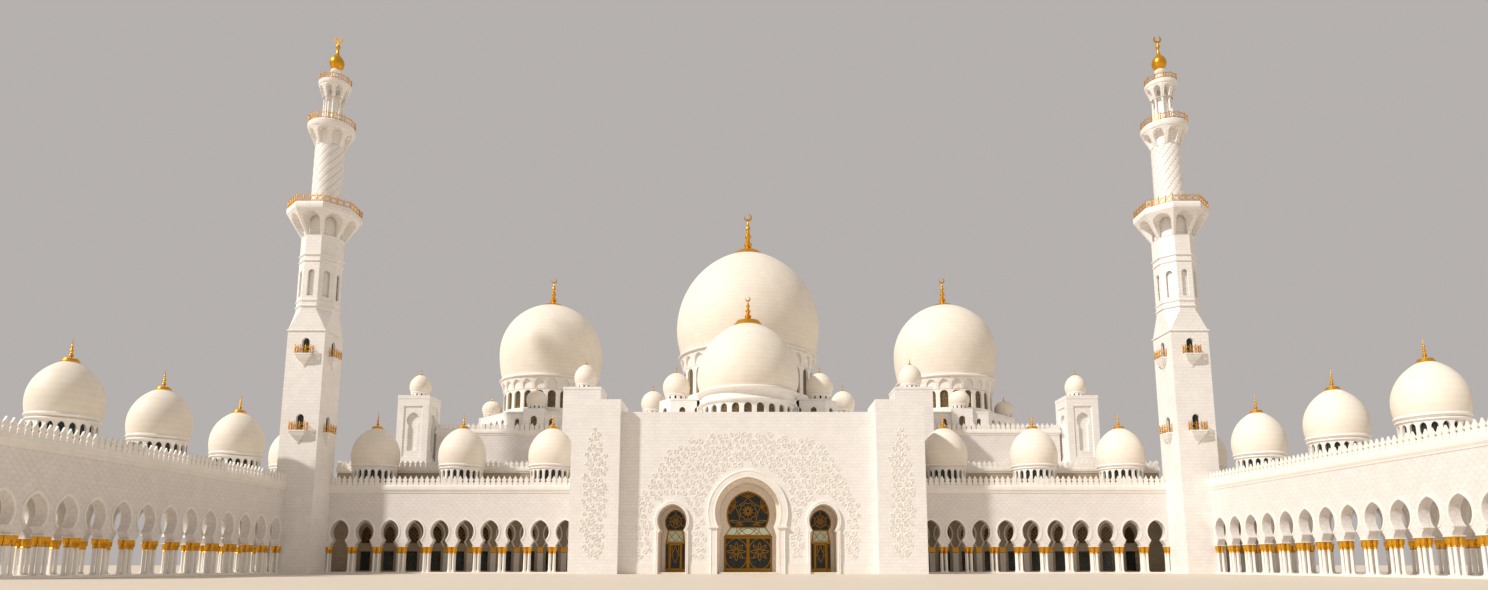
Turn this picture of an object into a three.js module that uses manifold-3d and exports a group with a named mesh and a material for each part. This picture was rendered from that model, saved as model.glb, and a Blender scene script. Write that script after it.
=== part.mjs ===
// White marble mosque at 1:10: a portal with pylons in front of a domed hall, an arcade along
// each side of the portal, two wings of arcades, and a minaret in each corner between them.
// X is across the front, Y runs back from the face of the portal, and Z is up from the ground.
import * as THREE from 'three';
import { mergeVertices } from 'three/addons/utils/BufferGeometryUtils.js';
import Module from 'manifold-3d';

const wasm = await Module();
wasm.setup();

// Every size below is in metres of the real building, and the model has 100 mm for each metre
const metre = 100;
const seam = 0.003;

// Whole plan
const halfWidth = 95.5;
const halfDepth = 60;
const floorTop = 0.3;

// Portal: a deep wall between two pylons that stand proud of it
const pylonInner = 23.2;
const pylonOuter = 32;
const pylonTop = 31.5;
const portalFace = 2;
const portalBack = 10;
const portalTop = 28.7;
const mouldingDepth = 0.35;

// Steps in the depth of the doorways, and the middle plane of the doors and screens
const firstStep = 4.5;
const lastStep = 9;
const doorPlane = 9.5;

// Keyhole arches: half width at the widest level, levels, and half width between the jambs
const mainArch = { half: 5.9, widest: 11, apex: 17.4, pinch: 8.56, flare: 8.2, jamb: 5.5 };
const middleArch = { half: 5.25, widest: 11, apex: 16.7, pinch: 8.56, flare: 7, jamb: 5.2 };
const innerArch = { half: 4.08, widest: 11, apex: 15.5, pinch: 8.6, flare: 6.9, jamb: 4.55 };
const mainMoulding = { half: 7.35, widest: 11, apex: 18.8, pinch: 8.56, flare: 8.4, jamb: 6.8 };
const sideArch = { half: 2.65, widest: 9.54, apex: 12.5, pinch: 7.8, flare: 7.27, jamb: 2.47 };
const sideInnerArch = { half: 2, widest: 9.54, apex: 12, pinch: 8, flare: 5.65, jamb: 1.87 };
const sideMoulding = { half: 3.2, widest: 9.54, apex: 13.15, pinch: 7.8, flare: 7.6, jamb: 3.02 };
const bayArch = { half: 1.72, widest: 7.76, apex: 10, pinch: 6.15, flare: 5.1, jamb: 1.74 };
const sideArchX = 13.7;

// Doors: leaf thickness, glass, rails, the running gaps, and the pivot pins
const leafThickness = 0.12;
const glassThickness = 0.04;
const stile = 0.25;
const bottomRail = 0.6;
const hingeGap = 0.08;
const runningGap = 0.05;
const pivotInset = 0.06;
const pinSize = 0.05;
const sideLeafHalf = 1.2;
const mullion = 0.1;
const frameDepth = 0.4;

// Vestibule behind the portal
const vestibuleInner = 28.7;
const vestibuleOuter = 30.1;
const roofThickness = 0.8;

// Hall: a lower block, and an upper block that is set back from it
const hallHalf = 83;
const hallFront = 19;
const hallWall = 1;
const hallTop = 20;
const upperHalf = 66.5;
const upperFront = 27.5;
const upperWall = 1.2;
const upperTop = 29;
const parapetHeight = 1.2;
const parapetWidth = 0.5;

// Towers on the lower roof
const stairTowerX = 34.05;
const stairTowerY = 22.95;
const stairTowerHalf = 3.85;
const roofTowerX = 70.2;
const roofTowerY = 26.8;
const roofTowerHalf = 3.3;

// Arcades
const bays = 13;
const wingInner = 84;
const arcadeDepth = 1.3;
const arcadeFoot = 5.1;
const arcadeTop = 15;
const arcadeRoofTop = 16.3;
const eaves = 0.3;
const backArcadeFace = 8;
const backBays = 10;
const shaftWidth = 0.48;
const shaftOffset = 0.4;

// Minarets
const minaretX = 82.4;
const minaretY = 5.3;
const minaretHalf = 3.5;

// The arches between a pylon and a minaret, and the doorway and window behind each of them
const backPitch = (minaretX - minaretHalf - pylonOuter) / backBays;
const screenHalf = 1.25;

// Places of the large domes
const domeY = 42.5;
const flankDomeX = 46;
const frontDomeY = 15.5;

// Corners lie on a grid of 0.05 mm, so that faces meant to share a plane share it exactly
const grid = 0.0005;

// Solids: three.js makes each shape, and they are joined and cut as closed bodies
function solidOf(geometry) {
  geometry.deleteAttribute('normal');
  geometry.deleteAttribute('uv');
  const places = geometry.attributes.position.array;
  for (let i = 0; i < places.length; i += 1) places[i] = Math.round(places[i] / grid) * grid;
  const merged = mergeVertices(geometry, grid / 4);
  const corners = merged.index.array;
  const triangles = [];
  for (let i = 0; i < corners.length; i += 3) {
    const [a, b, c] = [corners[i], corners[i + 1], corners[i + 2]];
    if (a !== b && b !== c && c !== a) triangles.push(a, b, c);
  }
  return new wasm.Manifold(new wasm.Mesh({
    numProp: 3,
    vertProperties: new Float32Array(merged.attributes.position.array),
    triVerts: new Uint32Array(triangles),
  }));
}

function joined(solids) {
  return solids.reduce((whole, solid) => whole.add(solid));
}

function cut(solid, holes) {
  return holes.reduce((whole, hole) => whole.subtract(hole), solid);
}

function block(x0, x1, y0, y1, z0, z1) {
  const box = new THREE.BoxGeometry(Math.abs(x1 - x0), Math.abs(y1 - y0), z1 - z0);
  box.translate((x0 + x1) / 2, (y0 + y1) / 2, (z0 + z1) / 2);
  return solidOf(box);
}

function extruded(outline, depth) {
  const shape = new THREE.Shape(outline.map(([u, v]) => new THREE.Vector2(u, v)));
  return new THREE.ExtrudeGeometry(shape, { depth, bevelEnabled: false });
}

// A flat plate from an outline in plan
function slab(outline, z0, z1) {
  const plate = extruded(outline, z1 - z0);
  plate.translate(0, 0, z0);
  return solidOf(plate);
}

// A wall that runs along X, from its outline seen from the front
function wallAlongX(outline, y0, y1) {
  const wall = extruded(outline, y1 - y0);
  wall.rotateX(Math.PI / 2);
  wall.translate(0, y1, 0);
  return solidOf(wall);
}

// A wall that runs along Y, from its outline seen from the side
function wallAlongY(outline, x0, x1) {
  const wall = extruded(outline, Math.abs(x1 - x0));
  wall.rotateX(Math.PI / 2);
  wall.rotateZ(Math.PI / 2);
  wall.translate(Math.min(x0, x1), 0, 0);
  return solidOf(wall);
}

// A turned body whose flat sides face the axes; its outside runs upward in the profile
function turned(profile, sides, x = 0, y = 0) {
  const points = profile.map(([radius, height]) => new THREE.Vector2(radius, height));
  const body = new THREE.LatheGeometry(points, sides, Math.PI / sides);
  body.rotateX(Math.PI / 2);
  body.translate(x, y, 0);
  return solidOf(body);
}

// One side of a keyhole arch, from its foot to its point: the jamb, the flare, the pinch, and
// an arc whose centre lies just past the middle, so that the two arcs meet in a point
function archSide(arch, steps, foot, inset) {
  const rise = arch.apex - arch.widest;
  const offset = (rise * rise - arch.half * arch.half) / (2 * arch.half);
  const radius = arch.half + offset - inset;
  const start = Math.asin((arch.pinch - arch.widest) / radius);
  const end = Math.acos(offset / radius);
  const side = [[arch.jamb - inset, foot]];
  if (arch.flare > foot) side.push([arch.jamb - inset, arch.flare]);
  for (let i = 0; i <= steps; i += 1) {
    const angle = start + ((end - start) * i) / steps;
    const across = i === steps ? 0 : radius * Math.cos(angle) - offset;
    side.push([across, arch.widest + radius * Math.sin(angle)]);
  }
  return side;
}

function keyhole(arch, steps, x, foot, inset = 0) {
  const right = archSide(arch, steps, foot, inset);
  const left = right.slice(0, -1).map(([across, height]) => [-across, height]);
  return [...left, right.at(-1), ...right.slice(0, -1).reverse()]
    .map(([across, height]) => [x + across, height]);
}

// A window with a pointed head
function pointed(x, half, sill, spring, apex) {
  return [[x - half, sill], [x + half, sill], [x + half, spring], [x, apex], [x - half, spring]];
}

const group = new THREE.Group();

const finishes = {
  marble: { color: '#efe7da', roughness: 0.42, metalness: 0 },
  gold: { color: '#c8932c', roughness: 0.3, metalness: 1 },
  bronzeAndGlass: { color: '#5b4420', roughness: 0.35, metalness: 0.6 },
  floorMarble: { color: '#e6dfd2', roughness: 0.25, metalness: 0 },
};

function place(name, solid, finish, x = 0, y = 0) {
  const { vertProperties, triVerts } = solid.getMesh();
  const geometry = new THREE.BufferGeometry();
  geometry.setAttribute('position', new THREE.BufferAttribute(vertProperties, 3));
  geometry.setIndex(new THREE.BufferAttribute(triVerts, 1));
  geometry.scale(metre, metre, metre);
  geometry.computeVertexNormals();
  const mesh = new THREE.Mesh(geometry, new THREE.MeshStandardMaterial(finishes[finish]));
  mesh.name = name;
  mesh.position.set(x * metre, y * metre, 0);
  group.add(mesh);
}

const sides = [['left', -1], ['right', 1]];

// Portal wall: one deep mass of masonry, with three stepped doorways and their raised mouldings
function portalWall() {
  const inner = pylonInner - seam;
  const below = -1;
  const mouldings = [wallAlongX(keyhole(mainMoulding, 7, 0, 0), portalFace - mouldingDepth, portalFace + 1)];
  const doorways = [
    wallAlongX(keyhole(mainArch, 7, 0, below), 0, firstStep),
    wallAlongX(keyhole(middleArch, 7, 0, below), 0, lastStep),
    wallAlongX(keyhole(innerArch, 7, 0, below), 0, portalBack + 1),
  ];
  for (const [, side] of sides) {
    const x = side * sideArchX;
    mouldings.push(wallAlongX(keyhole(sideMoulding, 5, x, 0), portalFace - mouldingDepth, portalFace + 1));
    doorways.push(wallAlongX(keyhole(sideArch, 5, x, below), 0, lastStep));
    doorways.push(wallAlongX(keyhole(sideInnerArch, 5, x, below), 0, portalBack + 1));
  }
  const mass = block(-inner, inner, portalFace, portalBack, 0, portalTop);
  return cut(joined([mass, ...mouldings]), doorways);
}
place('portal_wall', portalWall(), 'marble');

for (const [name, side] of sides) {
  const pylon = block(side * pylonInner, side * pylonOuter, 0, portalBack, 0, pylonTop);
  place(`${name}_pylon`, pylon, 'marble');
}

// Main fanlight: the fixed glass over the two leaves, with its rim, its foot and the bar over
// the pale band
function mainFanlight() {
  const front = doorPlane - frameDepth / 2;
  const back = doorPlane + frameDepth / 2;
  const rim = wallAlongX(keyhole(innerArch, 7, 0, innerArch.flare, seam), front, back);
  const light = { ...innerArch, flare: innerArch.flare + stile };
  const opening = wallAlongX(keyhole(light, 7, 0, light.flare, stile), front - 1, back + 1);
  const bar = block(-3.3, 3.3, front, back, innerArch.pinch - 0.1, innerArch.pinch + 0.1);
  const pane = wallAlongX(
    keyhole(innerArch, 7, 0, innerArch.flare, 0.1),
    doorPlane - glassThickness / 2,
    doorPlane + glassThickness / 2,
  );
  return joined([cut(rim, [opening]), bar, pane]);
}
place('main_fanlight', mainFanlight(), 'bronzeAndGlass');

// A door leaf seen from its pivot, which stands at the origin: stiles and rails around a pane
// on both faces, and a pin at its head and foot
function doorLeaf(side, width, top) {
  const foot = floorTop + runningGap;
  const head = top - runningGap;
  const near = side * -pivotInset;
  const far = near + side * width;
  const face = leafThickness / 2;
  const leaf = block(near, far, -face, face, foot, head);
  const pane = [];
  for (const outward of [-1, 1]) {
    const inset = outward * (glassThickness / 2);
    pane.push(block(
      near + side * stile, far - side * stile,
      inset, outward,
      foot + bottomRail, head - stile,
    ));
  }
  const pin = block(-pinSize / 2, pinSize / 2, -pinSize / 2, pinSize / 2, floorTop + seam, top - seam);
  const carved = cut(leaf, pane);
  return joined([carved, pin]);
}
for (const [name, side] of sides) {
  const pivot = side * (innerArch.jamb - hingeGap - pivotInset);
  const width = innerArch.jamb - hingeGap - runningGap / 2;
  place(`main_door_${name}`, doorLeaf(-side, width, innerArch.flare), 'bronzeAndGlass', pivot, doorPlane);
}

// Side screens: a frame that fills the doorway around its leaf, with a light on each side of
// the leaf, a pale band over it and a fanlight above
function sideScreen(x) {
  const front = doorPlane - frameDepth / 2;
  const back = doorPlane + frameDepth / 2;
  const foot = floorTop + seam;
  const frame = wallAlongX(keyhole(sideInnerArch, 5, x, foot, seam), front, back);
  const doorway = block(x - sideLeafHalf, x + sideLeafHalf, 0, portalBack + 1, 0, sideInnerArch.flare);
  const fanlight = { ...sideInnerArch, pinch: sideInnerArch.pinch + 0.15, flare: 0 };
  fanlight.jamb = 1.52;
  const lights = [];
  const beforeGlass = [front - 1, doorPlane - glassThickness / 2];
  const behindGlass = [doorPlane + glassThickness / 2, back + 1];
  for (const [y0, y1] of [beforeGlass, behindGlass]) {
    lights.push(wallAlongX(keyhole(fanlight, 5, x, fanlight.pinch, 0.15), y0, y1));
    lights.push(wallAlongX([
      [x - 1.6, sideInnerArch.flare + 0.15],
      [x + 1.6, sideInnerArch.flare + 0.15],
      [x + 1.3, sideInnerArch.pinch - 0.05],
      [x - 1.3, sideInnerArch.pinch - 0.05],
    ], y0, y1));
    for (const [, side] of sides) {
      const inner = x + side * (sideLeafHalf + mullion);
      const outer = x + side * (sideInnerArch.jamb - mullion);
      lights.push(block(inner, outer, y0, y1, foot + bottomRail, sideInnerArch.flare - mullion));
    }
  }
  return cut(frame, [doorway, ...lights]);
}
for (const [name, side] of sides) {
  const x = side * sideArchX;
  place(`${name}_side_screen`, sideScreen(x), 'bronzeAndGlass');
  const width = 2 * sideLeafHalf - hingeGap - runningGap;
  const pivot = x + side * (sideLeafHalf - hingeGap - pivotInset);
  place(`${name}_side_door`, doorLeaf(-side, width, sideInnerArch.flare), 'bronzeAndGlass', pivot, doorPlane);
}

// Floor: the hall, the vestibule, and a tongue through each doorway
function hallFloor() {
  const parts = [
    block(-hallHalf + hallWall + seam, hallHalf - hallWall - seam, hallFront + hallWall + seam,
      halfDepth - hallWall - seam, 0, floorTop),
    block(-vestibuleInner + seam, vestibuleInner - seam, portalBack + seam, hallFront + hallWall + 1,
      0, floorTop),
  ];
  for (const [x, outer, inner] of [
    [0, middleArch.jamb, innerArch.jamb],
    [-sideArchX, sideArch.jamb, sideInnerArch.jamb],
    [sideArchX, sideArch.jamb, sideInnerArch.jamb],
  ]) {
    parts.push(block(x - outer + seam, x + outer - seam, portalFace, lastStep - seam, 0, floorTop));
    parts.push(block(x - inner + seam, x + inner - seam, portalFace + 1, portalBack + 1, 0, floorTop));
  }
  return joined(parts);
}
place('hall_floor', hallFloor(), 'floorMarble');

// Vestibule: two side walls that stop at the hall below its roof, and the roof that also covers
// the portal wall between the pylons, open under the front dome
function vestibule() {
  const back = upperFront - seam;
  const profile = [
    [portalBack + seam, 0], [hallFront - seam, 0], [hallFront - seam, hallTop + seam],
    [back, hallTop + seam], [back, portalTop + roofThickness], [portalBack + seam, portalTop + roofThickness],
  ];
  const parts = [
    wallAlongY(profile, -vestibuleOuter, -vestibuleInner),
    wallAlongY(profile, vestibuleInner, vestibuleOuter),
    block(-vestibuleOuter, vestibuleOuter, portalBack + seam, back, portalTop, portalTop + roofThickness),
    block(-pylonInner + seam, pylonInner - seam, portalFace, portalBack + 1, portalTop + seam,
      portalTop + roofThickness),
  ];
  const oculus = turned([[0, 0], [8.4, 0], [8.4, 40], [0, 40]], 24, 0, frontDomeY);
  const clear = block(-25, 25, portalFace, portalBack + 1, 0, portalTop + seam);
  return cut(joined(parts), [clear, oculus]).add(frontTurrets());
}

// Turret: a block with a small dome on a low neck
function turretDome(x, y, blockTop, radius, crown) {
  const widest = blockTop + 0.75 * radius;
  return turned([
    [0, blockTop - 0.5], [0.8 * radius, blockTop - 0.5], [radius, widest],
    [0.72 * radius, widest + 0.62 * (crown - widest)], [0, crown],
  ], 8, x, y);
}

function turret(x, y, half, foot, blockTop, radius, crown) {
  const body = block(x - half, x + half, y - half, y + half, foot, blockTop);
  return body.add(turretDome(x, y, blockTop, radius, crown));
}

// The blocks of the front turrets reach in behind the front dome and have one corner cut off
function frontTurrets() {
  const [outer, inner, near, far, chamfer, top] = [18.2, 9.9, 17.3, 23.7, 2.5, 34.9];
  const plan = [[outer, near + chamfer], [outer - chamfer, near], [inner, near], [inner, far], [outer, far]];
  return joined(sides.map(([, side]) => {
    const body = slab(plan.map(([x, y]) => [side * x, y]), portalTop + roofThickness - 0.2, top);
    return body.add(turretDome(side * 14.8, 20.5, top, 2.8, 41));
  }));
}
place('vestibule', vestibule(), 'marble');

// Lower walls of the hall, open to the vestibule, with tall windows on every side
function hallLowerWalls() {
  const [half, inner] = [hallHalf, hallHalf - hallWall];
  const [front, back] = [hallFront, halfDepth];
  const ring = slab([
    [vestibuleInner, front], [half, front], [half, back], [-half, back], [-half, front], [-vestibuleInner, front],
    [-vestibuleInner, front + hallWall], [-inner, front + hallWall], [-inner, back - hallWall],
    [inner, back - hallWall], [inner, front + hallWall], [vestibuleInner, front + hallWall],
  ], 0, hallTop);
  const windows = [];
  for (let i = 0; i < 8; i += 1) {
    windows.push(wallAlongX(pointed(-66.5 + 19 * i, 1.6, 3, 9, 11.4), back - 2, back + 1));
  }
  for (let i = 0; i < 3; i += 1) {
    windows.push(wallAlongY(pointed(hallFront + 8 + 12.5 * i, 1.6, 3, 9, 11.4), -half - 1, half + 1));
  }
  for (const [, side] of sides) {
    for (let i = 0; i < backBays; i += 1) {
      const middle = side * (pylonOuter + (i + 0.5) * backPitch);
      const [low, high] = [middle - screenHalf, middle + screenHalf];
      const doorway = [[low, 0.5], [high, 0.5], [high, 4.3], [low, 4.3]];
      windows.push(wallAlongX(doorway, front - 1, front + 2));
      windows.push(wallAlongX(pointed(middle, screenHalf, 5.9, 7.6, 9.3), front - 1, front + 2));
    }
  }
  return cut(ring, windows);
}
place('hall_lower_walls', hallLowerWalls(), 'marble');

// Lower roofs: the strip of roof around each end of the upper block, with its parapet
for (const [name, side] of sides) {
  const [inner, step] = [upperHalf - upperWall, upperFront + upperWall];
  const outline = [
    [vestibuleOuter + seam, hallFront], [hallHalf, hallFront], [hallHalf, halfDepth],
    [inner, halfDepth], [inner, step], [vestibuleOuter + seam, step],
  ].map(([x, y]) => [side * x, y]);
  const top = hallTop + roofThickness;
  const outer = side * hallHalf;
  const roof = joined([
    slab(outline, hallTop + seam, top),
    block(side * (stairTowerX + stairTowerHalf + seam), outer, hallFront, hallFront + parapetWidth,
      hallTop + 0.5, top + parapetHeight),
    block(outer, outer - side * parapetWidth, hallFront, halfDepth, hallTop + 0.5, top + parapetHeight),
    block(side * (upperHalf + seam), outer, halfDepth - parapetWidth, halfDepth,
      hallTop + 0.5, top + parapetHeight),
  ]);
  place(`${name}_lower_roof`, roof, 'marble');
}

// Upper walls: a ring that stands on the lower roofs, and at the back on the lower wall
function hallUpperWalls() {
  const foot = hallTop + roofThickness + seam;
  const outer = block(-upperHalf, upperHalf, upperFront, halfDepth, foot, upperTop);
  const inside = block(-upperHalf + upperWall, upperHalf - upperWall, upperFront + upperWall,
    halfDepth - upperWall, 0, upperTop + 1);
  const sill = block(-upperHalf + upperWall + seam, upperHalf - upperWall - seam, halfDepth - hallWall,
    halfDepth, hallTop + seam, foot + 0.5);
  return cut(outer, [inside]).add(sill);
}
place('hall_upper_walls', hallUpperWalls(), 'marble');

// Upper roof: a slab that is open under the three drums, with a parapet and the main base
const upperRoofTop = upperTop + roofThickness;
function upperRoof() {
  const deck = block(-upperHalf, upperHalf, upperFront, halfDepth, upperTop + seam, upperRoofTop);
  const rim = block(-upperHalf, upperHalf, upperFront, halfDepth, upperTop + 0.5, upperRoofTop + parapetHeight);
  const inside = block(-upperHalf + parapetWidth, upperHalf - parapetWidth, upperFront + parapetWidth,
    halfDepth - parapetWidth, 0, upperRoofTop + 5);
  const gapInRim = block(-mainBaseHalf - seam, mainBaseHalf + seam, upperFront - 1, upperFront + 1,
    upperRoofTop, upperRoofTop + 5);
  const holes = [turned([[0, 0], [13.6, 0], [13.6, 60], [0, 60]], 24, 0, domeY)];
  for (const [, side] of sides) {
    holes.push(turned([[0, 0], [9.2, 0], [9.2, 60], [0, 60]], 24, side * flankDomeX, domeY));
  }
  return cut(deck.add(cut(rim, [inside, gapInRim])), holes);
}
const mainBaseHalf = 23.6;
place('upper_roof', upperRoof(), 'marble');

// Pointed dome curve, from the collar out to its widest ring and in to the crown
function domeCurve(collar, collarZ, widest, widestZ, crownZ, steps, inset = 0) {
  const below = Math.acos(collar / widest);
  const depth = (widestZ - collarZ) / Math.sin(below);
  const rise = crownZ - widestZ;
  const offset = Math.max(0, (rise * rise - widest * widest) / (2 * widest));
  const radius = widest + offset - inset;
  const end = Math.acos(offset / radius);
  const curve = [[collar - inset, collarZ]];
  curve.push([widest * Math.cos(below / 2) - inset, widestZ - depth * Math.sin(below / 2)]);
  for (let i = 0; i < steps; i += 1) {
    const angle = (end * i) / steps;
    curve.push([radius * Math.cos(angle) - offset, widestZ + radius * Math.sin(angle)]);
  }
  curve.push([0, widestZ + radius * Math.sin(end)]);
  return curve;
}

// Drum: a ring of 24 flat sides with a moulded collar, cut by a pointed window in every second
// side, and a shell of a dome over it
function drum(x, y, spec) {
  const [outer, inner] = [spec.drumRadius, spec.drumRadius - spec.wall];
  const ring = turned([
    [inner, spec.foot], [outer, spec.foot], [outer, spec.collarFoot], [spec.collar + 0.3, spec.spring - seam],
    [inner, spec.spring - seam], [inner, spec.foot],
  ], 24, x, y);
  const windows = [];
  for (let i = 0; i < 6; i += 1) {
    const outline = pointed(0, spec.windowHalf, spec.windowSill, spec.windowSpring, spec.windowApex);
    const shape = extruded(outline, 2 * outer + 4);
    shape.rotateX(Math.PI / 2);
    shape.translate(0, outer + 2, 0);
    shape.rotateZ((i * Math.PI) / 6);
    shape.translate(x, y, 0);
    windows.push(solidOf(shape));
  }
  return cut(ring, windows);
}

function dome(x, y, spec, steps, finial) {
  const outside = domeCurve(spec.collar, spec.spring, spec.widest, spec.widestZ, spec.crown, steps);
  const inside = domeCurve(spec.collar, spec.spring, spec.widest, spec.widestZ, spec.crown, 3, spec.wall * 1.4);
  const shell = turned([...inside.reverse(), ...outside], 24, x, y);
  if (!finial) return shell;
  const foot = spec.crown;
  return shell.add(turned([
    [0, foot - 0.2], [0.9, foot - 0.2], [0.4, foot + 0.8], [0.7, foot + 1.9], [0.15, foot + 3], [0, spec.tip],
  ], 6, x, y));
}

const flankBaseTop = 34.3;
const mainSpec = {
  foot: 33.003, drumRadius: 15, wall: 1, collarFoot: 47.5, collar: 15.3, spring: 49.1,
  widest: 16.65, widestZ: 56, crown: 75.1, tip: 85,
  windowHalf: 1.15, windowSill: 39.2, windowSpring: 43.7, windowApex: 45.3,
};
const flankSpec = {
  foot: flankBaseTop + seam, drumRadius: 10.4, wall: 0.8, collarFoot: 41.7, collar: 10.75, spring: 43.3,
  widest: 11.7, widestZ: 50, crown: 62.1, tip: 68.9,
  windowHalf: 0.9, windowSill: 36, windowSpring: 38.9, windowApex: 39.9,
};
const frontSpec = {
  foot: 29.503, drumRadius: 9.3, wall: 0.7, collarFoot: 32.7, collar: 9.5, spring: 35.3,
  widest: 10.2, widestZ: 38.4, crown: 50.3, tip: 55.8,
  windowHalf: 0.7, windowSill: 30, windowSpring: 31.4, windowApex: 32.2,
};

// Main base: a broad block on the upper roof, open in the middle, with a turret at each corner
function mainBase() {
  const foot = upperRoofTop + seam;
  const top = mainSpec.foot - seam;
  const deck = block(-mainBaseHalf, mainBaseHalf, upperFront + seam, halfDepth - 0.8, foot, top);
  const apron = block(-mainBaseHalf, mainBaseHalf, 25.4, upperFront + 1, foot, top);
  const turrets = [];
  for (const x of [-20.5, 20.5]) {
    for (const y of [29, 56]) turrets.push(turret(x, y, 2.9, top - 0.5, top + 0.3, 2.6, 38.9));
  }
  const well = turned([[0, 0], [13.6, 0], [13.6, 60], [0, 60]], 24, 0, domeY);
  return cut(joined([deck, apron, ...turrets]), [well]);
}
place('main_base', mainBase(), 'marble');
place('main_drum', drum(0, domeY, mainSpec), 'marble');
place('main_dome', dome(0, domeY, mainSpec, 6, false), 'marble');

// Main finial: a gold foot plate, balls on a stem, and a pointed tip
const finialFoot = mainSpec.crown + seam;
place('main_finial', turned([
  [0, finialFoot], [2.7, finialFoot], [2.7, finialFoot + 0.3], [0.6, finialFoot + 1.3],
  [1, finialFoot + 2.2], [0.35, finialFoot + 3.4], [0.7, finialFoot + 4.4], [0.25, finialFoot + 5.6],
  [0.2, finialFoot + 8.6], [0, mainSpec.tip],
], 8, 0, domeY), 'gold');

// Flank bases: an eight-sided block under each flank drum, with a turret on its four main sides
function flankBase() {
  const foot = upperRoofTop + seam;
  const across = 14 / Math.cos(Math.PI / 8);
  const body = turned([[0, foot], [across, foot], [across, flankBaseTop], [0, flankBaseTop]], 8);
  const turrets = [];
  const [sideways, onward] = [13.4, 12.45];
  for (const [x, y] of [[0, -onward], [0, onward], [-sideways, 0], [sideways, 0]]) {
    turrets.push(turret(x, y, 2, foot, 34.9, 2.2, 39.2));
  }
  const well = turned([[0, 0], [9.2, 0], [9.2, 60], [0, 60]], 24);
  return cut(joined([body, ...turrets]), [well]);
}
for (const [name, side] of sides) {
  const x = side * flankDomeX;
  place(`${name}_base`, flankBase(), 'marble', x, domeY);
  place(`${name}_drum`, drum(0, 0, flankSpec), 'marble', x, domeY);
  place(`${name}_dome`, dome(0, 0, flankSpec, 5, true), 'marble', x, domeY);
}
place('front_drum', drum(0, 0, frontSpec), 'marble', 0, frontDomeY);
place('front_dome', dome(0, 0, frontSpec, 5, true), 'marble', 0, frontDomeY);

// Towers on the lower roof: a square body with a niche in each face, under a small dome
function tower(half, foot, top, radius, crown, niches) {
  const body = turret(0, 0, half, foot, top, radius, crown);
  if (!niches) return body;
  const cuts = [
    wallAlongX(pointed(0, 1.3, foot + 4, foot + 11, foot + 13.2), -half - 1, -half + 0.6),
    wallAlongX(pointed(0, 1.3, foot + 4, foot + 11, foot + 13.2), half - 0.6, half + 1),
    wallAlongY(pointed(0, 1.3, foot + 4, foot + 11, foot + 13.2), -half - 1, -half + 0.6),
    wallAlongY(pointed(0, 1.3, foot + 4, foot + 11, foot + 13.2), half - 0.6, half + 1),
  ];
  return cut(body, cuts);
}
for (const [name, side] of sides) {
  const foot = hallTop + roofThickness + seam;
  const stairTower = tower(stairTowerHalf, foot, 37.8, 2.4, 43.9, false);
  place(`${name}_stair_tower`, stairTower, 'marble', side * stairTowerX, stairTowerY);
  const roofTower = tower(roofTowerHalf, foot, 36.9, 2.2, 42.5, true);
  place(`${name}_roof_tower`, roofTower, 'marble', side * roofTowerX, roofTowerY);
}

// Foot of a carried wall: it rises into a keyhole arch over each bay, and past the last bay it
// comes down to the floor
function arcadeOutline(start, end, count, pitch) {
  const outline = [[start, arcadeFoot]];
  for (let i = 0; i < count; i += 1) {
    outline.push(...keyhole(bayArch, 3, start + (i + 0.5) * pitch, arcadeFoot));
  }
  const last = start + count * pitch;
  if (end - last > 0.1) {
    outline.push([last, arcadeFoot], [last, floorTop + seam], [end, floorTop + seam]);
  } else {
    outline.push([end, arcadeFoot]);
  }
  outline.push([end, arcadeTop], [start, arcadeTop]);
  return outline;
}

// One pair of shafts under each springing, half a pair at each end of a row
function shaftRow(start, count, pitch, along) {
  const row = [];
  for (let i = 0; i <= count; i += 1) {
    for (const offset of [-shaftOffset, shaftOffset]) {
      const inRow = !((i === 0 && offset < 0) || (i === count && offset > 0));
      const centre = start + i * pitch + offset;
      if (inRow) row.push(along(centre - shaftWidth / 2, centre + shaftWidth / 2));
    }
  }
  return row;
}

// A single square pier under each springing
function pierRow(start, count, pitch, along) {
  const row = [];
  const half = shaftOffset + shaftWidth / 2;
  for (let i = 0; i <= count; i += 1) {
    const centre = start + i * pitch;
    row.push(along(i === 0 ? centre : centre - half, i === count ? centre - seam : centre + half));
  }
  return row;
}

function smallDome(x, y, radius) {
  const foot = arcadeRoofTop;
  return turned([
    [0, foot - 0.4], [0.88 * radius, foot - 0.4], [0.93 * radius, foot + 4], [radius, foot + 6.9],
    [0.8 * radius, foot + 10], [0.14, foot + 12.2], [0, foot + 15.1],
  ], 12, x, y);
}

// Wings: a floor with its shafts, the inner and outer walls, and the roof with its four domes
const pitch = (minaretY - minaretHalf + halfDepth) / bays;
const wingEnd = minaretY - minaretHalf - seam;
const minaretBack = minaretY + minaretHalf + seam;
const minaretSide = minaretX + minaretHalf + seam;
function wingOutline(side, overhang) {
  return [
    [wingInner - overhang, -halfDepth], [halfWidth, -halfDepth], [halfWidth, hallFront], [wingInner, hallFront],
    [wingInner, minaretBack], [minaretSide, minaretBack], [minaretSide, wingEnd], [wingInner - overhang, wingEnd],
  ].map(([x, y]) => [side * x, y]);
}

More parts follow.
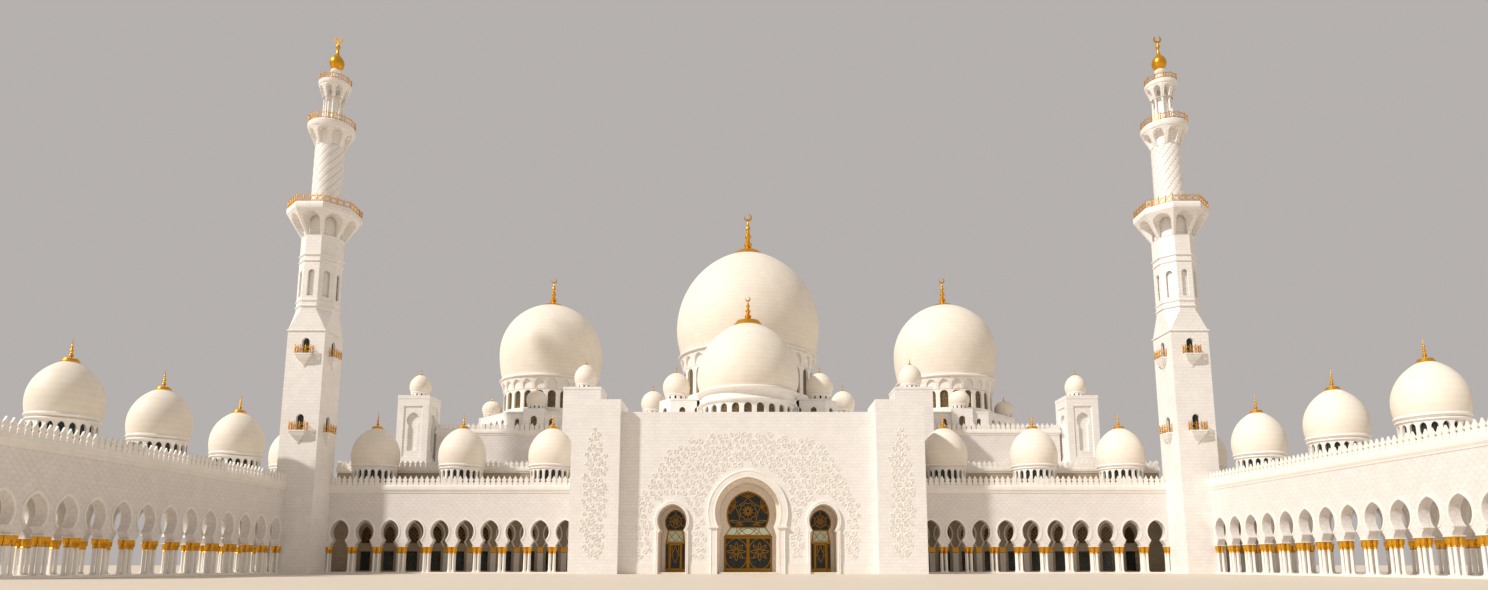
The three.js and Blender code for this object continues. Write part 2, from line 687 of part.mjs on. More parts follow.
function wingColumns(side) {
  const foot = floorTop - 0.1;
  const top = arcadeFoot - seam;
  const outerFace = halfWidth - arcadeDepth;
  const inner = (y0, y1) => block(side * wingInner, side * (wingInner + arcadeDepth), y0, y1, foot, top);
  const outer = (y0, y1) => block(side * outerFace, side * halfWidth, y0, y1, foot, top);
  const middle = (wingInner + arcadeDepth + outerFace) / 2;
  const across = (y0, y1) => (offset) => block(
    side * (middle + offset - shaftWidth / 2), side * (middle + offset + shaftWidth / 2), y0, y1, foot, top,
  );
  return joined([
    slab(wingOutline(side, eaves), 0, floorTop),
    ...shaftRow(-halfDepth, bays, pitch, inner),
    ...pierRow(-halfDepth, bays + 3, pitch, outer),
    ...[-shaftOffset, shaftOffset].map(across(-halfDepth, -halfDepth + arcadeDepth)),
  ]);
}

function wingOuterWall(side) {
  const outerFace = halfWidth - arcadeDepth;
  const long = arcadeOutline(-halfDepth, hallFront, bays + 3, pitch);
  const inner = wingInner + arcadeDepth + seam;
  const endPitch = (outerFace - inner) / 2;
  const short = arcadeOutline(inner, outerFace + 0.1, 2, endPitch).map(([x, z]) => [side * x, z]);
  const corner = block(side * wingInner, side * (outerFace + 0.1), hallFront - arcadeDepth, hallFront,
    floorTop + seam, arcadeTop);
  return joined([
    wallAlongY(long, side * outerFace, side * halfWidth),
    wallAlongX(short, -halfDepth, -halfDepth + arcadeDepth),
    corner,
  ]);
}

for (const [name, side] of sides) {
  place(`${name}_wing_columns`, wingColumns(side), 'floorMarble');
  const innerOutline = arcadeOutline(-halfDepth, wingEnd, bays, pitch);
  const innerWall = wallAlongY(innerOutline, side * wingInner, side * (wingInner + arcadeDepth));
  place(`${name}_wing_inner_wall`, innerWall, 'marble');
  place(`${name}_wing_outer_wall`, wingOuterWall(side), 'marble');
  const top = arcadeRoofTop + parapetHeight;
  const eavesLine = wingInner - eaves;
  const domes = [-43, -24.6, -4.5, 14.4].map((y) => smallDome(side * 89.75, y, 4.3));
  place(`${name}_wing_roof`, joined([
    slab(wingOutline(side, eaves), arcadeTop + seam, arcadeRoofTop),
    block(side * eavesLine, side * (eavesLine + parapetWidth), -halfDepth, wingEnd, arcadeTop + 0.5, top),
    block(side * halfWidth, side * (halfWidth - parapetWidth), -halfDepth, hallFront, arcadeTop + 0.5, top),
    ...domes,
  ]), 'marble');
}

// Arcades beside the portal: the same bays, in front of the hall
const backStart = pylonOuter + seam;
const backEnd = minaretX - minaretHalf - seam;
function backOutline(side) {
  const front = backArcadeFace - eaves;
  const back = hallFront - seam;
  return [
    [backStart, front], [backEnd, front], [backEnd, minaretBack], [wingInner - seam, minaretBack],
    [wingInner - seam, back], [vestibuleOuter + seam, back], [vestibuleOuter + seam, portalBack + seam],
    [backStart, portalBack + seam],
  ].map(([x, y]) => [side * x, y]);
}

for (const [name, side] of sides) {
  const face = backArcadeFace;
  const foot = floorTop - 0.1;
  const along = (x0, x1) => block(side * x0, side * x1, face, face + arcadeDepth, foot, arcadeFoot - seam);
  place(`${name}_arcade_columns`, joined([
    slab(backOutline(side), 0, floorTop),
    ...shaftRow(pylonOuter, backBays, backPitch, along),
  ]), 'floorMarble');
  const outline = arcadeOutline(backStart, backEnd, backBays, backPitch).map(([x, z]) => [side * x, z]);
  place(`${name}_arcade_wall`, wallAlongX(outline, face, face + arcadeDepth), 'marble');
  const top = arcadeRoofTop + parapetHeight;
  const domes = [38.5, 56.1, 73.1].map((x) => smallDome(side * x, 13.6, 4.5));
  place(`${name}_arcade_roof`, joined([
    slab(backOutline(side), arcadeTop + seam, arcadeRoofTop),
    block(side * backStart, side * backEnd, face - eaves, face - eaves + parapetWidth, arcadeTop + 0.5, top),
    ...domes,
  ]), 'marble');
}

// Minarets: a square tower that turns into an octagon under its gallery, a round shaft under a
// second gallery, and a lantern with its gold ball and stem
const galleryDeck = 69.3;
const upperDeck = 86.8;
function minaretTower() {
  const corner = 1 / Math.cos(Math.PI / 8);
  const square = block(-minaretHalf, minaretHalf, -minaretHalf, minaretHalf, 0, 49);
  const broach = turned([[0, -1], [9, -1], [9, 45], [minaretHalf * corner, 49], [0, 49]], 8);
  const crown = turned([
    [0, 48.9], [minaretHalf * corner, 48.9], [minaretHalf * corner, 63.6],
    [6.1 * corner, 68], [6.1 * corner, 70.8], [5.95 * corner, 70.8], [5.95 * corner, galleryDeck], [0, galleryDeck],
  ], 8);
  const balconies = [];
  for (const floor of [26, 40.4]) {
    for (const turn of [0, 1, 2, 3]) {
      const outline = [
        [-minaretHalf + 0.1, floor - 2.4], [-minaretHalf - 1, floor], [-minaretHalf - 1, floor + 1.7],
        [-minaretHalf + 0.1, floor + 1.7],
      ];
      const balcony = extruded(outline, 3);
      balcony.rotateX(Math.PI / 2);
      balcony.translate(0, 1.5, 0);
      balcony.rotateZ((turn * Math.PI) / 2);
      balconies.push(solidOf(balcony));
    }
  }
  return joined([square.intersect(broach), crown, ...balconies]);
}

function minaretShaft() {
  return turned([
    [0, galleryDeck + seam], [2.65, galleryDeck + seam], [2.65, 82.7], [4.15, 86], [4.15, 88.8], [4, 88.8],
    [4, upperDeck], [0, upperDeck],
  ], 12);
}

function minaretLantern() {
  return turned([
    [0, upperDeck + seam], [1.92, upperDeck + seam], [1.92, 93], [2.87, 96], [2.87, 97.2],
    [2.77, 97.2], [2.77, 96.2], [0.95, 96.2], [0.6, 99.8], [1.35, 101.3], [0.4, 102.8], [0.3, 105], [0.35, 105.6], [0, 107],
  ], 8);
}

for (const [name, side] of sides) {
  place(`${name}_minaret_tower`, minaretTower(), 'marble', side * minaretX, minaretY);
  place(`${name}_minaret_shaft`, minaretShaft(), 'marble', side * minaretX, minaretY);
  place(`${name}_minaret_lantern`, minaretLantern(), 'marble', side * minaretX, minaretY);
}

export default group;
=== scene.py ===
# White marble mosque, a model at 1:10: portal, domed hall, arcades, wings and two minarets.
# Every size below is in metres of the real building, and MODEL brings it to the model's size.
import math
import random

import bmesh
import bpy
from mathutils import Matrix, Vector
from mathutils.geometry import tessellate_polygon


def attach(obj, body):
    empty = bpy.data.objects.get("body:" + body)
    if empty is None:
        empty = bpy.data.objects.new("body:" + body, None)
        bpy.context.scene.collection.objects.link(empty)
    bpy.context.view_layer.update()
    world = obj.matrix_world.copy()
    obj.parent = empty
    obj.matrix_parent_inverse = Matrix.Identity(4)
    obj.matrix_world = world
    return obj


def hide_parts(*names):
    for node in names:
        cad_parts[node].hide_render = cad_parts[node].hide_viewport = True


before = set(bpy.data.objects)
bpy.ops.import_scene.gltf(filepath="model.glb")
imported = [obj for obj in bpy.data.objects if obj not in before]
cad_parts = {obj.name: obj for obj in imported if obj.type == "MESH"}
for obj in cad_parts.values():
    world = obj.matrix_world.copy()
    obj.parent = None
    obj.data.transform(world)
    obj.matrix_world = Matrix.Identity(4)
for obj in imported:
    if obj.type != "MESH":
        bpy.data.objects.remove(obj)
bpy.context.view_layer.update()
MODEL = 0.1

# The place the photograph was taken from: eye height on the ground, far in front of the portal.
# The camera looks up by TILT, and the shift takes up the rest of the way to the photo's horizon.
PHOTO_WIDTH = 1488
PHOTO_HEIGHT = 590
FOCAL_PIXELS = 872
HORIZON_PIXEL = 565
MIDDLE_PIXEL = 748
SENSOR = 36
TILT = math.radians(8.6)
VIEWING_DISTANCE = 154.5
EYE_HEIGHT = 1.6
SIGHT_LIMIT = 1000
camera_data = bpy.data.cameras.new("camera")
camera_data.sensor_width = SENSOR
camera_data.lens = SENSOR * FOCAL_PIXELS / PHOTO_WIDTH * math.cos(TILT)
down = HORIZON_PIXEL - PHOTO_HEIGHT / 2
camera_data.shift_y = (down - FOCAL_PIXELS * math.sin(TILT)) / PHOTO_WIDTH
camera_data.shift_x = (PHOTO_WIDTH / 2 - MIDDLE_PIXEL) / PHOTO_WIDTH
camera_data.clip_end = SIGHT_LIMIT
camera = bpy.data.objects.new("camera", camera_data)
camera.location = Vector((0, -VIEWING_DISTANCE, EYE_HEIGHT)) * MODEL
camera.rotation_euler = (math.pi / 2 + TILT, 0, 0)
bpy.context.scene.collection.objects.link(camera)
bpy.context.scene.camera = camera


def linear(hex_colour):
    parts = [int(hex_colour[i:i + 2], 16) / 255 for i in (1, 3, 5)]
    return (*[p / 12.92 if p <= 0.04045 else ((p + 0.055) / 1.055) ** 2.4 for p in parts], 1)


def node(material, kind, links=None, **settings):
    """Adds one node: links gives each of its sockets a value or the socket that feeds it"""
    added = material.node_tree.nodes.new(kind)
    for key, value in settings.items():
        setattr(added, key, value)
    for key, value in (links or {}).items():
        if isinstance(value, bpy.types.NodeSocket):
            material.node_tree.links.new(value, added.inputs[key])
        else:
            added.inputs[key].default_value = value
    return added


def finish(name, constants):
    """A material and its shader, with the values that are the same all over set on the shader"""
    material = bpy.data.materials.new(name)
    material.use_nodes = True
    shader = material.node_tree.nodes["Principled BSDF"]
    for key, value in constants.items():
        shader.inputs[key].default_value = value
    return material, shader


def rectangle(u0, u1, v0, v1):
    return [(u0, v0), (u1, v0), (u1, v1), (u0, v1)]


# Studio: a plain pale floor, a soft key light where the sun stood in the photo, left of the
# camera and about 40 degrees up, and an even pale surround.
FLOOR_REACH = 4000
KEY_SIDE = math.radians(60)
KEY_HEIGHT = math.radians(40)
KEY_STRENGTH = 3.4
KEY_SOFTNESS = math.radians(3)
SURROUND_STRENGTH = 0.84
floor_mesh = bpy.data.meshes.new("floor")
reach = FLOOR_REACH * MODEL
floor_mesh.from_pydata([(x, y, 0) for x, y in rectangle(-reach, reach, -reach, reach)], [], [(0, 1, 2, 3)])
floor = bpy.data.objects.new("floor", floor_mesh)
bpy.context.scene.collection.objects.link(floor)
floor_paint, floor_shader = finish("matt_studio_floor", {"Base Color": linear("#dacdbb"), "Roughness": 0.6})
floor_grain = node(floor_paint, "ShaderNodeTexNoise", {"Scale": 3.0, "Detail": 3})
floor_bump = node(floor_paint, "ShaderNodeBump", {"Strength": 0.05, "Distance": 0.002,
                                                  "Height": floor_grain.outputs[0]})
floor_paint.node_tree.links.new(floor_bump.outputs[0], floor_shader.inputs["Normal"])
floor_mesh.materials.append(floor_paint)

key = bpy.data.lights.new("key", "SUN")
key.energy = KEY_STRENGTH
key.angle = KEY_SOFTNESS
key.color = linear("#fffaf4")[:3]
key_light = bpy.data.objects.new("key", key)
level = math.cos(KEY_HEIGHT)
toward = Vector((-math.sin(KEY_SIDE) * level, -math.cos(KEY_SIDE) * level, math.sin(KEY_HEIGHT)))
key_light.rotation_mode = "QUATERNION"
key_light.rotation_quaternion = toward.to_track_quat("Z", "Y")
bpy.context.scene.collection.objects.link(key_light)

surround = bpy.data.worlds.new("surround")
surround.use_nodes = True
background = surround.node_tree.nodes["Background"]
background.inputs[0].default_value = linear("#c4bfbc")
background.inputs[1].default_value = SURROUND_STRENGTH
bpy.context.scene.world = surround
bpy.context.scene.view_settings.view_transform = "Standard"


# Marble cladding: honed warm white slabs on concrete, laid in level courses. The light catches
# a fine joint round each slab, and no two slabs have quite the same tone.
SLAB_COURSE = 0.62
SLAB_LENGTH = 1.25


def clad(name, colours, course, length, joint, carved=0.0, around=False, cut=0.5, roughness=0.42):
    """Slabs in courses. carved is the spacing of a fine diamond relief, and around gives a
    dome's level bands with no upright joints"""
    pale, deep, seam = [linear(colour) for colour in colours]
    material, shader = finish(name, {"Roughness": roughness, "Specular IOR Level": 0.4})
    place = node(material, "ShaderNodeTexCoord").outputs["Object"]
    axes = node(material, "ShaderNodeSeparateXYZ", {0: place})
    along = node(material, "ShaderNodeMath", {0: axes.outputs["X"], 1: axes.outputs["Y"]}, operation="ADD")
    flat = node(material, "ShaderNodeCombineXYZ", {
        "X": 0.05 if around else along.outputs[0], "Y": axes.outputs["Z"]})
    slabs = node(material, "ShaderNodeTexBrick", {
        "Vector": flat.outputs[0], "Color1": pale, "Color2": deep, "Mortar": seam, "Scale": 1.0,
        "Mortar Size": joint * MODEL / 2, "Mortar Smooth": 0.3, "Bias": -0.2,
        "Brick Width": length * MODEL, "Row Height": course * MODEL})
    clouds = node(material, "ShaderNodeTexNoise", {"Vector": place, "Scale": 5.0, "Detail": 5,
                                                   "Roughness": 0.6})
    tone = node(material, "ShaderNodeMapRange", {"Value": clouds.outputs[0], "From Min": 0.3, "From Max": 0.7,
                                                 "To Min": 0.94, "To Max": 1.02})
    colour = node(material, "ShaderNodeMix", {0: 1.0, 6: slabs.outputs["Color"], 7: tone.outputs[0]},
                  data_type="RGBA", blend_type="MULTIPLY")
    height = slabs.outputs["Fac"]
    if carved:
        ridges = []
        for sign in (1, -1):
            slope = node(material, "ShaderNodeMath", {0: axes.outputs["Z"], 1: float(sign),
                                                      2: along.outputs[0]},
                         operation="MULTIPLY_ADD")
            wave = node(material, "ShaderNodeMath", {0: slope.outputs[0], 1: carved * MODEL / 2},
                        operation="PINGPONG")
            ridges.append(wave.outputs[0])
        nearest = node(material, "ShaderNodeMath", {0: ridges[0], 1: ridges[1]}, operation="MINIMUM")
        groove = node(material, "ShaderNodeMapRange", {"Value": nearest.outputs[0],
                                                       "From Max": 0.12 * carved * MODEL, "To Min": 1.0,
                                                       "To Max": 0.0})
        height = groove.outputs[0]
        # The grooves of the diamond net are painted a little darker: painted shade in the recesses.
        groove_painted_shade = node(material, "ShaderNodeMath", {0: height, 1: -0.09, 2: 1.0}, operation="MULTIPLY_ADD")
        colour = node(material, "ShaderNodeMix", {0: 1.0, 6: colour.outputs[2], 7: groove_painted_shade.outputs[0]},
                      data_type="RGBA", blend_type="MULTIPLY")
    relief = node(material, "ShaderNodeBump", {"Strength": cut, "Distance": 0.03 * MODEL, "Height": height},
                  invert=True)
    material.node_tree.links.new(colour.outputs[2], shader.inputs["Base Color"])
    material.node_tree.links.new(relief.outputs[0], shader.inputs["Normal"])
    return material


wall_marble = clad("honed_wall_marble", ("#f5f2ee", "#f2ede8", "#e6dfd8"), SLAB_COURSE, SLAB_LENGTH, 0.05)
# The diamond-carved marble is greyer and cooler than the wall marble: painted cool shade in its base colours.
carved_marble = clad("diamond_carved_marble", ("#ebe6e2", "#e8e1dc", "#d9d2cc"), SLAB_COURSE, SLAB_LENGTH,
                     0.04, carved=1.1)
dome_marble = clad("honed_dome_marble", ("#f2e9db", "#f2e9db", "#f0e6d6"), 0.45, 1.0, 0.03, around=True,
                   cut=0.0, roughness=0.6)
trim_marble = clad("polished_trim_marble", ("#f5f0e9", "#f2ece4", "#e4ddd2"), 1.6, 2.4, 0.03)
# The reveals are the wall marble painted warmer: painted bounce light for the warm light thrown into the deep
# doorways.
reveal_marble = clad("reveal_marble_painted_bounce", ("#f6ecdf", "#f2e6d7", "#e2d3c0"), SLAB_COURSE, SLAB_LENGTH, 0.04)
# The gallery marble is the white marble painted brown-grey: painted shade for the deep shade under the
# arcades.
shaded_marble = clad("painted_shade_gallery_marble", ("#b5a48c", "#ab9a83", "#94836d"), SLAB_COURSE, SLAB_LENGTH, 0.04)
paving_marble = clad("polished_floor_marble", ("#e9e2d6", "#e3dacc", "#cfc4b3"), 1.2, 1.2, 0.03)


def dress(name, material):
    """Gives a CAD node its finish"""
    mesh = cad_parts[name].data
    mesh.materials.clear()
    mesh.materials.append(material)


for name in ("left_pylon", "right_pylon", "hall_upper_walls"):
    dress(name, wall_marble)
dress("hall_floor", paving_marble)
CREASE = math.radians(32)


def made(name, shapes, material, slot="marble", body="building", replaces=()):
    """One piece of the building from closed shapes, each a list of points and a list of faces"""
    points, faces = [], []
    for more_points, more_faces in shapes:
        first = len(points)
        points.extend(tuple(c * MODEL for c in point) for point in more_points)
        faces.extend([first + i for i in face] for face in more_faces)
    mesh = bpy.data.meshes.new(name)
    mesh.from_pydata(points, [], faces)
    mesh.validate()
    work = bmesh.new()
    work.from_mesh(mesh)
    bmesh.ops.recalc_face_normals(work, faces=work.faces)
    work.to_mesh(mesh)
    work.free()
    mesh.shade_smooth()
    mesh.set_sharp_from_angle(angle=CREASE)
    mesh.materials.append(material)
    piece = bpy.data.objects.new(name, mesh)
    bpy.context.scene.collection.objects.link(piece)
    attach(piece, body)
    if replaces:
        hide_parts(*replaces)


# Portal wall: the deep mass of masonry between the pylons, clad in marble, with three doorways
# that narrow in steps. A broad plain moulding stands round each one on impost blocks. SEAM is the
# gap that the CAD leaves between pieces of the building that stand against each other.
SEAM = 0.003
PORTAL_HALF = 23.2 - SEAM
PORTAL_FACE = 2
PORTAL_BACK = 10
PORTAL_TOP = 28.7
FIRST_STEP = 4.5
LAST_STEP = 9
SIDE_ARCH_X = 13.7
PLINTH_TOP = 1.9
ARCH_STEPS = 16
main_arch = dict(half=5.9, widest=11, apex=17.4, pinch=8.56, flare=8.2, jamb=5.5)
middle_arch = dict(half=5.25, widest=11, apex=16.7, pinch=8.56, flare=7, jamb=5.2)
inner_arch = dict(half=4.08, widest=11, apex=15.5, pinch=8.6, flare=6.9, jamb=4.55)
main_moulding = dict(half=7.35, widest=11, apex=18.8, pinch=8.56, flare=8.4, jamb=6.8)
side_arch = dict(half=2.65, widest=9.54, apex=12.5, pinch=7.8, flare=7.27, jamb=2.47)
side_inner_arch = dict(half=2, widest=9.54, apex=12, pinch=8, flare=5.65, jamb=1.87)
side_moulding = dict(half=3.2, widest=9.54, apex=13.15, pinch=7.8, flare=7.6, jamb=3.02)
sides = (("left", -1), ("right", 1))


def block(x0, x1, y0, y1, z0, z1):
    (x0, x1), (y0, y1) = sorted((x0, x1)), sorted((y0, y1))
    points = [(x, y, z) for z in (z0, z1) for x, y in ((x0, y0), (x1, y0), (x1, y1), (x0, y1))]
    return points, [(3, 2, 1, 0), (4, 5, 6, 7), (0, 1, 5, 4), (1, 2, 6, 5), (2, 3, 7, 6), (3, 0, 4, 7)]


def polar(x, y, radius, angle):
    return x + radius * math.cos(angle), y + radius * math.sin(angle)


def prism(outline, near, far, place, holes=()):
    """A plate from its outline and holes, with place giving the point for (across, up, depth)"""
    loops = [outline, *holes]
    triangles = tessellate_polygon([[Vector((u, v, 0)) for u, v in loop] for loop in loops])
    corners = [corner for loop in loops for corner in loop]
    count = len(corners)
    points = [place(u, v, depth) for depth in (near, far) for u, v in corners]
    faces = [tuple(t) for t in triangles] + [tuple(count + i for i in reversed(t)) for t in triangles]
    start = 0
    for loop in loops:
        for i in range(len(loop)):
            a, b = start + i, start + (i + 1) % len(loop)
            faces.append((a, b, count + b, count + a))
        start += len(loop)
    return points, faces


def facing_front(across, up, depth):
    return across, depth, up


def set_back(half, rise):
    """How far past the middle each arc of a pointed arch is struck from"""
    return (rise ** 2 - half ** 2) / (2 * half)


def arch_side(arch, foot, steps, inset=0.0):
    """Right side of a keyhole arch from its foot to its point: jamb, flare, pinch and arc"""
    offset = set_back(arch["half"], arch["apex"] - arch["widest"])
    radius = arch["half"] + offset - inset
    start = math.asin((arch["pinch"] - arch["widest"]) / radius)
    end = math.acos(offset / radius)
    side = [(arch["jamb"] - inset, foot)]
    if arch["flare"] > foot:
        side.append((arch["jamb"] - inset, arch["flare"]))
    for i in range(steps):
        side.append(polar(-offset, arch["widest"], radius, start + (end - start) * i / steps))
    return side + [(0, arch["widest"] + radius * math.sin(end))]


def keyhole(arch, x, foot, steps=ARCH_STEPS, inset=0.0):
    right = arch_side(arch, foot, steps, inset)
    left = [(-across, up) for across, up in right[:-1]]
    return [(x + across, up) for across, up in left + right[-1:] + right[-2::-1]]


def faces_only(outline, depth, place, holes=()):
    """A single flat face, closed to nothing: one step of a stepped doorway"""
    loops = [outline, *holes]
    triangles = tessellate_polygon([[Vector((u, v, 0)) for u, v in loop] for loop in loops])
    return [place(u, v, depth) for loop in loops for u, v in loop], [tuple(t) for t in triangles]


def lining(outline, near, far, place):
    """The skin between two depths along an open outline: the jambs and soffit of an opening"""
    count = len(outline)
    points = [place(u, v, depth) for depth in (near, far) for u, v in outline]
    return points, [(i, i + 1, count + i + 1, count + i) for i in range(count - 1)]


def notched(arches):
    """Outline of the portal wall with its doorways open at the foot"""
    outline = [(-PORTAL_HALF, 0)]
    for x, arch in arches:
        outline += keyhole(arch, x, 0)
    return outline + [(PORTAL_HALF, 0), (PORTAL_HALF, PORTAL_TOP), (-PORTAL_HALF, PORTAL_TOP)]


outer_doorways = [(-SIDE_ARCH_X, side_arch), (0, main_arch), (SIDE_ARCH_X, side_arch)]
inner_doorways = [(-SIDE_ARCH_X, side_inner_arch), (0, inner_arch), (SIDE_ARCH_X, side_inner_arch)]
portal = [
    faces_only(notched(outer_doorways), PORTAL_FACE, facing_front),
    faces_only(notched(inner_doorways), PORTAL_BACK, facing_front),
    lining([(-PORTAL_HALF, 0), (-PORTAL_HALF, PORTAL_TOP), (PORTAL_HALF, PORTAL_TOP), (PORTAL_HALF, 0)],
           PORTAL_FACE, PORTAL_BACK, facing_front),
]
made("portal_wall_stone", portal, wall_marble, replaces=["portal_wall"])
steps = []
main_rings = ((main_arch, PORTAL_FACE, FIRST_STEP), (middle_arch, FIRST_STEP, LAST_STEP),
              (inner_arch, LAST_STEP, PORTAL_BACK))
side_rings = ((side_arch, PORTAL_FACE, LAST_STEP), (side_inner_arch, LAST_STEP, PORTAL_BACK))
for x, rings in ((0, main_rings), (-SIDE_ARCH_X, side_rings), (SIDE_ARCH_X, side_rings)):
    for (arch, near, far), after in zip(rings, (*rings[1:], None)):
        steps.append(lining(keyhole(arch, x, 0), near, far, facing_front))
        if after:
            ring = keyhole(arch, x, 0) + keyhole(after[0], x, 0)[::-1]
            steps.append(faces_only(ring, far, facing_front))
made("portal_doorway_steps", steps, reveal_marble)


def skinned(points, ring, closed):
    """Faces that join rings of points one after the other, with both ends shut unless closed"""
    count = len(points) // ring
    faces = []
    for i in range(count if closed else count - 1):
        for k in range(ring):
            a, b = i * ring + k, i * ring + (k + 1) % ring
            c, d = (i + 1) % count * ring + (k + 1) % ring, (i + 1) % count * ring + k
            faces.append((a, b, c, d))
    if not closed:
        faces.append(tuple(range(ring))[::-1])
        faces.append(tuple((count - 1) * ring + k for k in range(ring)))
    return points, faces


def swept(path, outward, section, closed=False):
    """A bar of one section, a loop of (across, out) pairs, that follows a path"""
    points = []
    count = len(path)
    for i, here in enumerate(path):
        before = path[i - 1] if closed or i else here
        after = path[(i + 1) % count] if closed or i < count - 1 else here
        out = outward[i] if isinstance(outward, list) else outward
        across = (after - before).normalized().cross(out)
        across = across.normalized() if across.length > 1e-6 else Vector((1, 0, 0))
        points += [tuple(here + across * side + out * lift) for side, lift in section]
    return skinned(points, len(section), closed)


FRONT = Vector((0, -1, 0))


def on_front(outline, y):
    return [Vector((u, y, v)) for u, v in outline]


def arch_moulding(arch, outer, x, y, proud):
    """The raised band round a doorway: a flat fillet, a hollow and a rounded outer edge"""
    band = keyhole(outer, x, 0) + keyhole(arch, x, 0)[::-1]
    flat = prism(band, y - proud, y + 0.05, facing_front)
    edge = [(-0.12, 0.0), (-0.08, 0.05), (0.0, 0.08), (0.1, 0.05), (0.12, 0.0)]
    rim = swept(on_front(keyhole(outer, x, 0, inset=0.15), y - proud), FRONT, edge)
    inner = swept(on_front(keyhole(arch, x, 0, inset=-0.15), y - proud), FRONT, edge)
    return [flat, rim, inner]


BAND_PROUD = 0.35
mouldings = arch_moulding(main_arch, main_moulding, 0, PORTAL_FACE, BAND_PROUD)
for _, side in sides:
    mouldings += arch_moulding(side_arch, side_moulding, side * SIDE_ARCH_X, PORTAL_FACE, BAND_PROUD)
for _, side in sides:
    for low, high, reach_out in ((8.05, 8.2, 0.12), (8.2, 8.5, 0.3), (8.5, 8.62, 0.22)):
        mouldings.append(block(side * (main_arch["jamb"] - reach_out * 0.6),
                               side * (main_moulding["jamb"] + reach_out),
                               PORTAL_FACE - BAND_PROUD - reach_out, PORTAL_FACE + 2, low, high))
    outer_edge = side * (SIDE_ARCH_X + side_moulding["jamb"] + 0.05)
    inner_edge = side * (SIDE_ARCH_X - side_moulding["jamb"] - 0.05)
    for x0, x1 in ((side * (main_moulding["jamb"] + 0.02), inner_edge), (outer_edge, side * PORTAL_HALF)):
        mouldings.append(block(x0, x1, PORTAL_FACE - 0.12, PORTAL_FACE + 0.05, 0, PLINTH_TOP))
made("portal_mouldings", mouldings, trim_marble)


# Carved vines: relief cut from the marble of the portal and the pylons. Small scrolls grow close
# beside each other, each one winding into its eye with leaves along its outside.
TENDRIL = [(-0.08, -0.02), (0.0, 0.1), (0.08, -0.02)]
SCROLL_STEPS = 13
SCROLL_TURNS = 1.3
LEAF_RELIEF = 0.08
VINE_FOOT = 3.2
random.seed(7)


def leaf(x, y, z, angle, length, width):
    """A pointed leaf with a raised midrib, flat against the front of a wall"""
    reach_x, reach_z = math.cos(angle), math.sin(angle)
    outline = [(0, 0), (0.35, 0.5), (0.7, 0.36), (1, 0), (0.7, -0.36), (0.35, -0.5)]
    points = [(x + reach_x * a * length - reach_z * b * width, y,
               z + reach_z * a * length + reach_x * b * width)
              for a, b in outline]
    points.append((x + reach_x * 0.45 * length, y - LEAF_RELIEF, z + reach_z * 0.45 * length))
    return points, [(i, (i + 1) % 6, 6) for i in range(6)] + [(5, 4, 3, 2, 1, 0)]


def scroll(u, v, y, radius):
    heading = random.uniform(0, math.tau)
    hand = random.choice((-1, 1))
    path = []
    for i in range(SCROLL_STEPS + 1):
        share = i / SCROLL_STEPS
        turn = heading + hand * share * SCROLL_TURNS * math.tau
        across, up = polar(u, v, radius * (1 - 0.75 * share), turn)
        path.append(Vector((across, y, up)))
    shapes = [swept(path, FRONT, TENDRIL)]
    for i in (0, 3, 7):
        place = path[i]
        away = math.atan2(place.z - v, place.x - u) + hand * 0.6
        shapes.append(leaf(place.x, y, place.z, away, radius * 0.62, radius * 0.36))
    shapes += [leaf(u, y, v, heading + i * math.tau / 3, radius * 0.3, radius * 0.3) for i in range(3)]
    return shapes


def scrolls(fits, left, right, foot, top, y, spacing):
    """Scrolls scattered about the corners of a triangular net, wherever they fit"""
    shapes = []
    level, row = foot, 0
    while level < top:
        across = left + (row % 2) * spacing / 2
        while across < right:
            u = across + random.uniform(-0.2, 0.2) * spacing
            v = level + random.uniform(-0.2, 0.2) * spacing
            radius = spacing * random.uniform(0.36, 0.46)
            if fits(u, v):
                shapes += scroll(u, v, y, radius)
            across += spacing
        level += spacing * math.sin(math.pi / 3)
        row += 1
    return shapes


def clear_of(arch, x, u, v, margin):
    """Whether a point keeps its distance from the moulding round a doorway"""
    offset = set_back(arch["half"], arch["apex"] - arch["widest"])
    from_arc = math.hypot(abs(u - x) + offset, v - arch["widest"]) - arch["half"] - offset
    if v < arch["pinch"]:
        from_jamb = abs(u - x) - arch["jamb"]
        from_arc = min(from_arc, from_jamb) if v > arch["flare"] else from_jamb
    return from_arc > margin


def on_portal(u, v):
    """The carved field rises in a low curve over the doorways and falls away beside them"""
    away = abs(u)
    top = 25.4 - 1.9 * (away / 13.6) ** 2 if away < 13.6 else 23.5 - 1.55 * (away - 13.6)
    return (VINE_FOOT < v < top and away < 20 and clear_of(main_moulding, 0, u, v, 0.95)
            and clear_of(side_moulding, SIDE_ARCH_X, away, v, 0.85))


def on_pylon(u, v):
    """A tall tree that tapers to a point"""
    half = min(2.1, 0.3 + 0.3 * (26.4 - v), 1.2 + 0.3 * (v - VINE_FOOT))
    return abs(u) < half


made("portal_carved_vines", scrolls(on_portal, -20.5, 20.5, VINE_FOOT, 26, PORTAL_FACE, 1.2), trim_marble)
PYLON_MIDDLE = 27.6
for name, side in sides:
    middle = side * PYLON_MIDDLE
    tree = scrolls(lambda u, v: on_pylon(u - middle, v), middle - 2.6, middle + 2.6, VINE_FOOT, 26.4, 0, 1.05)
    made(f"{name}_pylon_carved_vines", tree, trim_marble)


# Doors and fanlights: leaves and screens of gilded bronze tracery over dark mosaic glass. The
# bars are cast flowers and arcs, and a band of pale celadon glass runs between doors and lights.
DOOR_PLANE = 9.5
LEAF_DEPTH = 0.12
SCREEN_DEPTH = 0.16
GLASS_DEPTH = 0.05

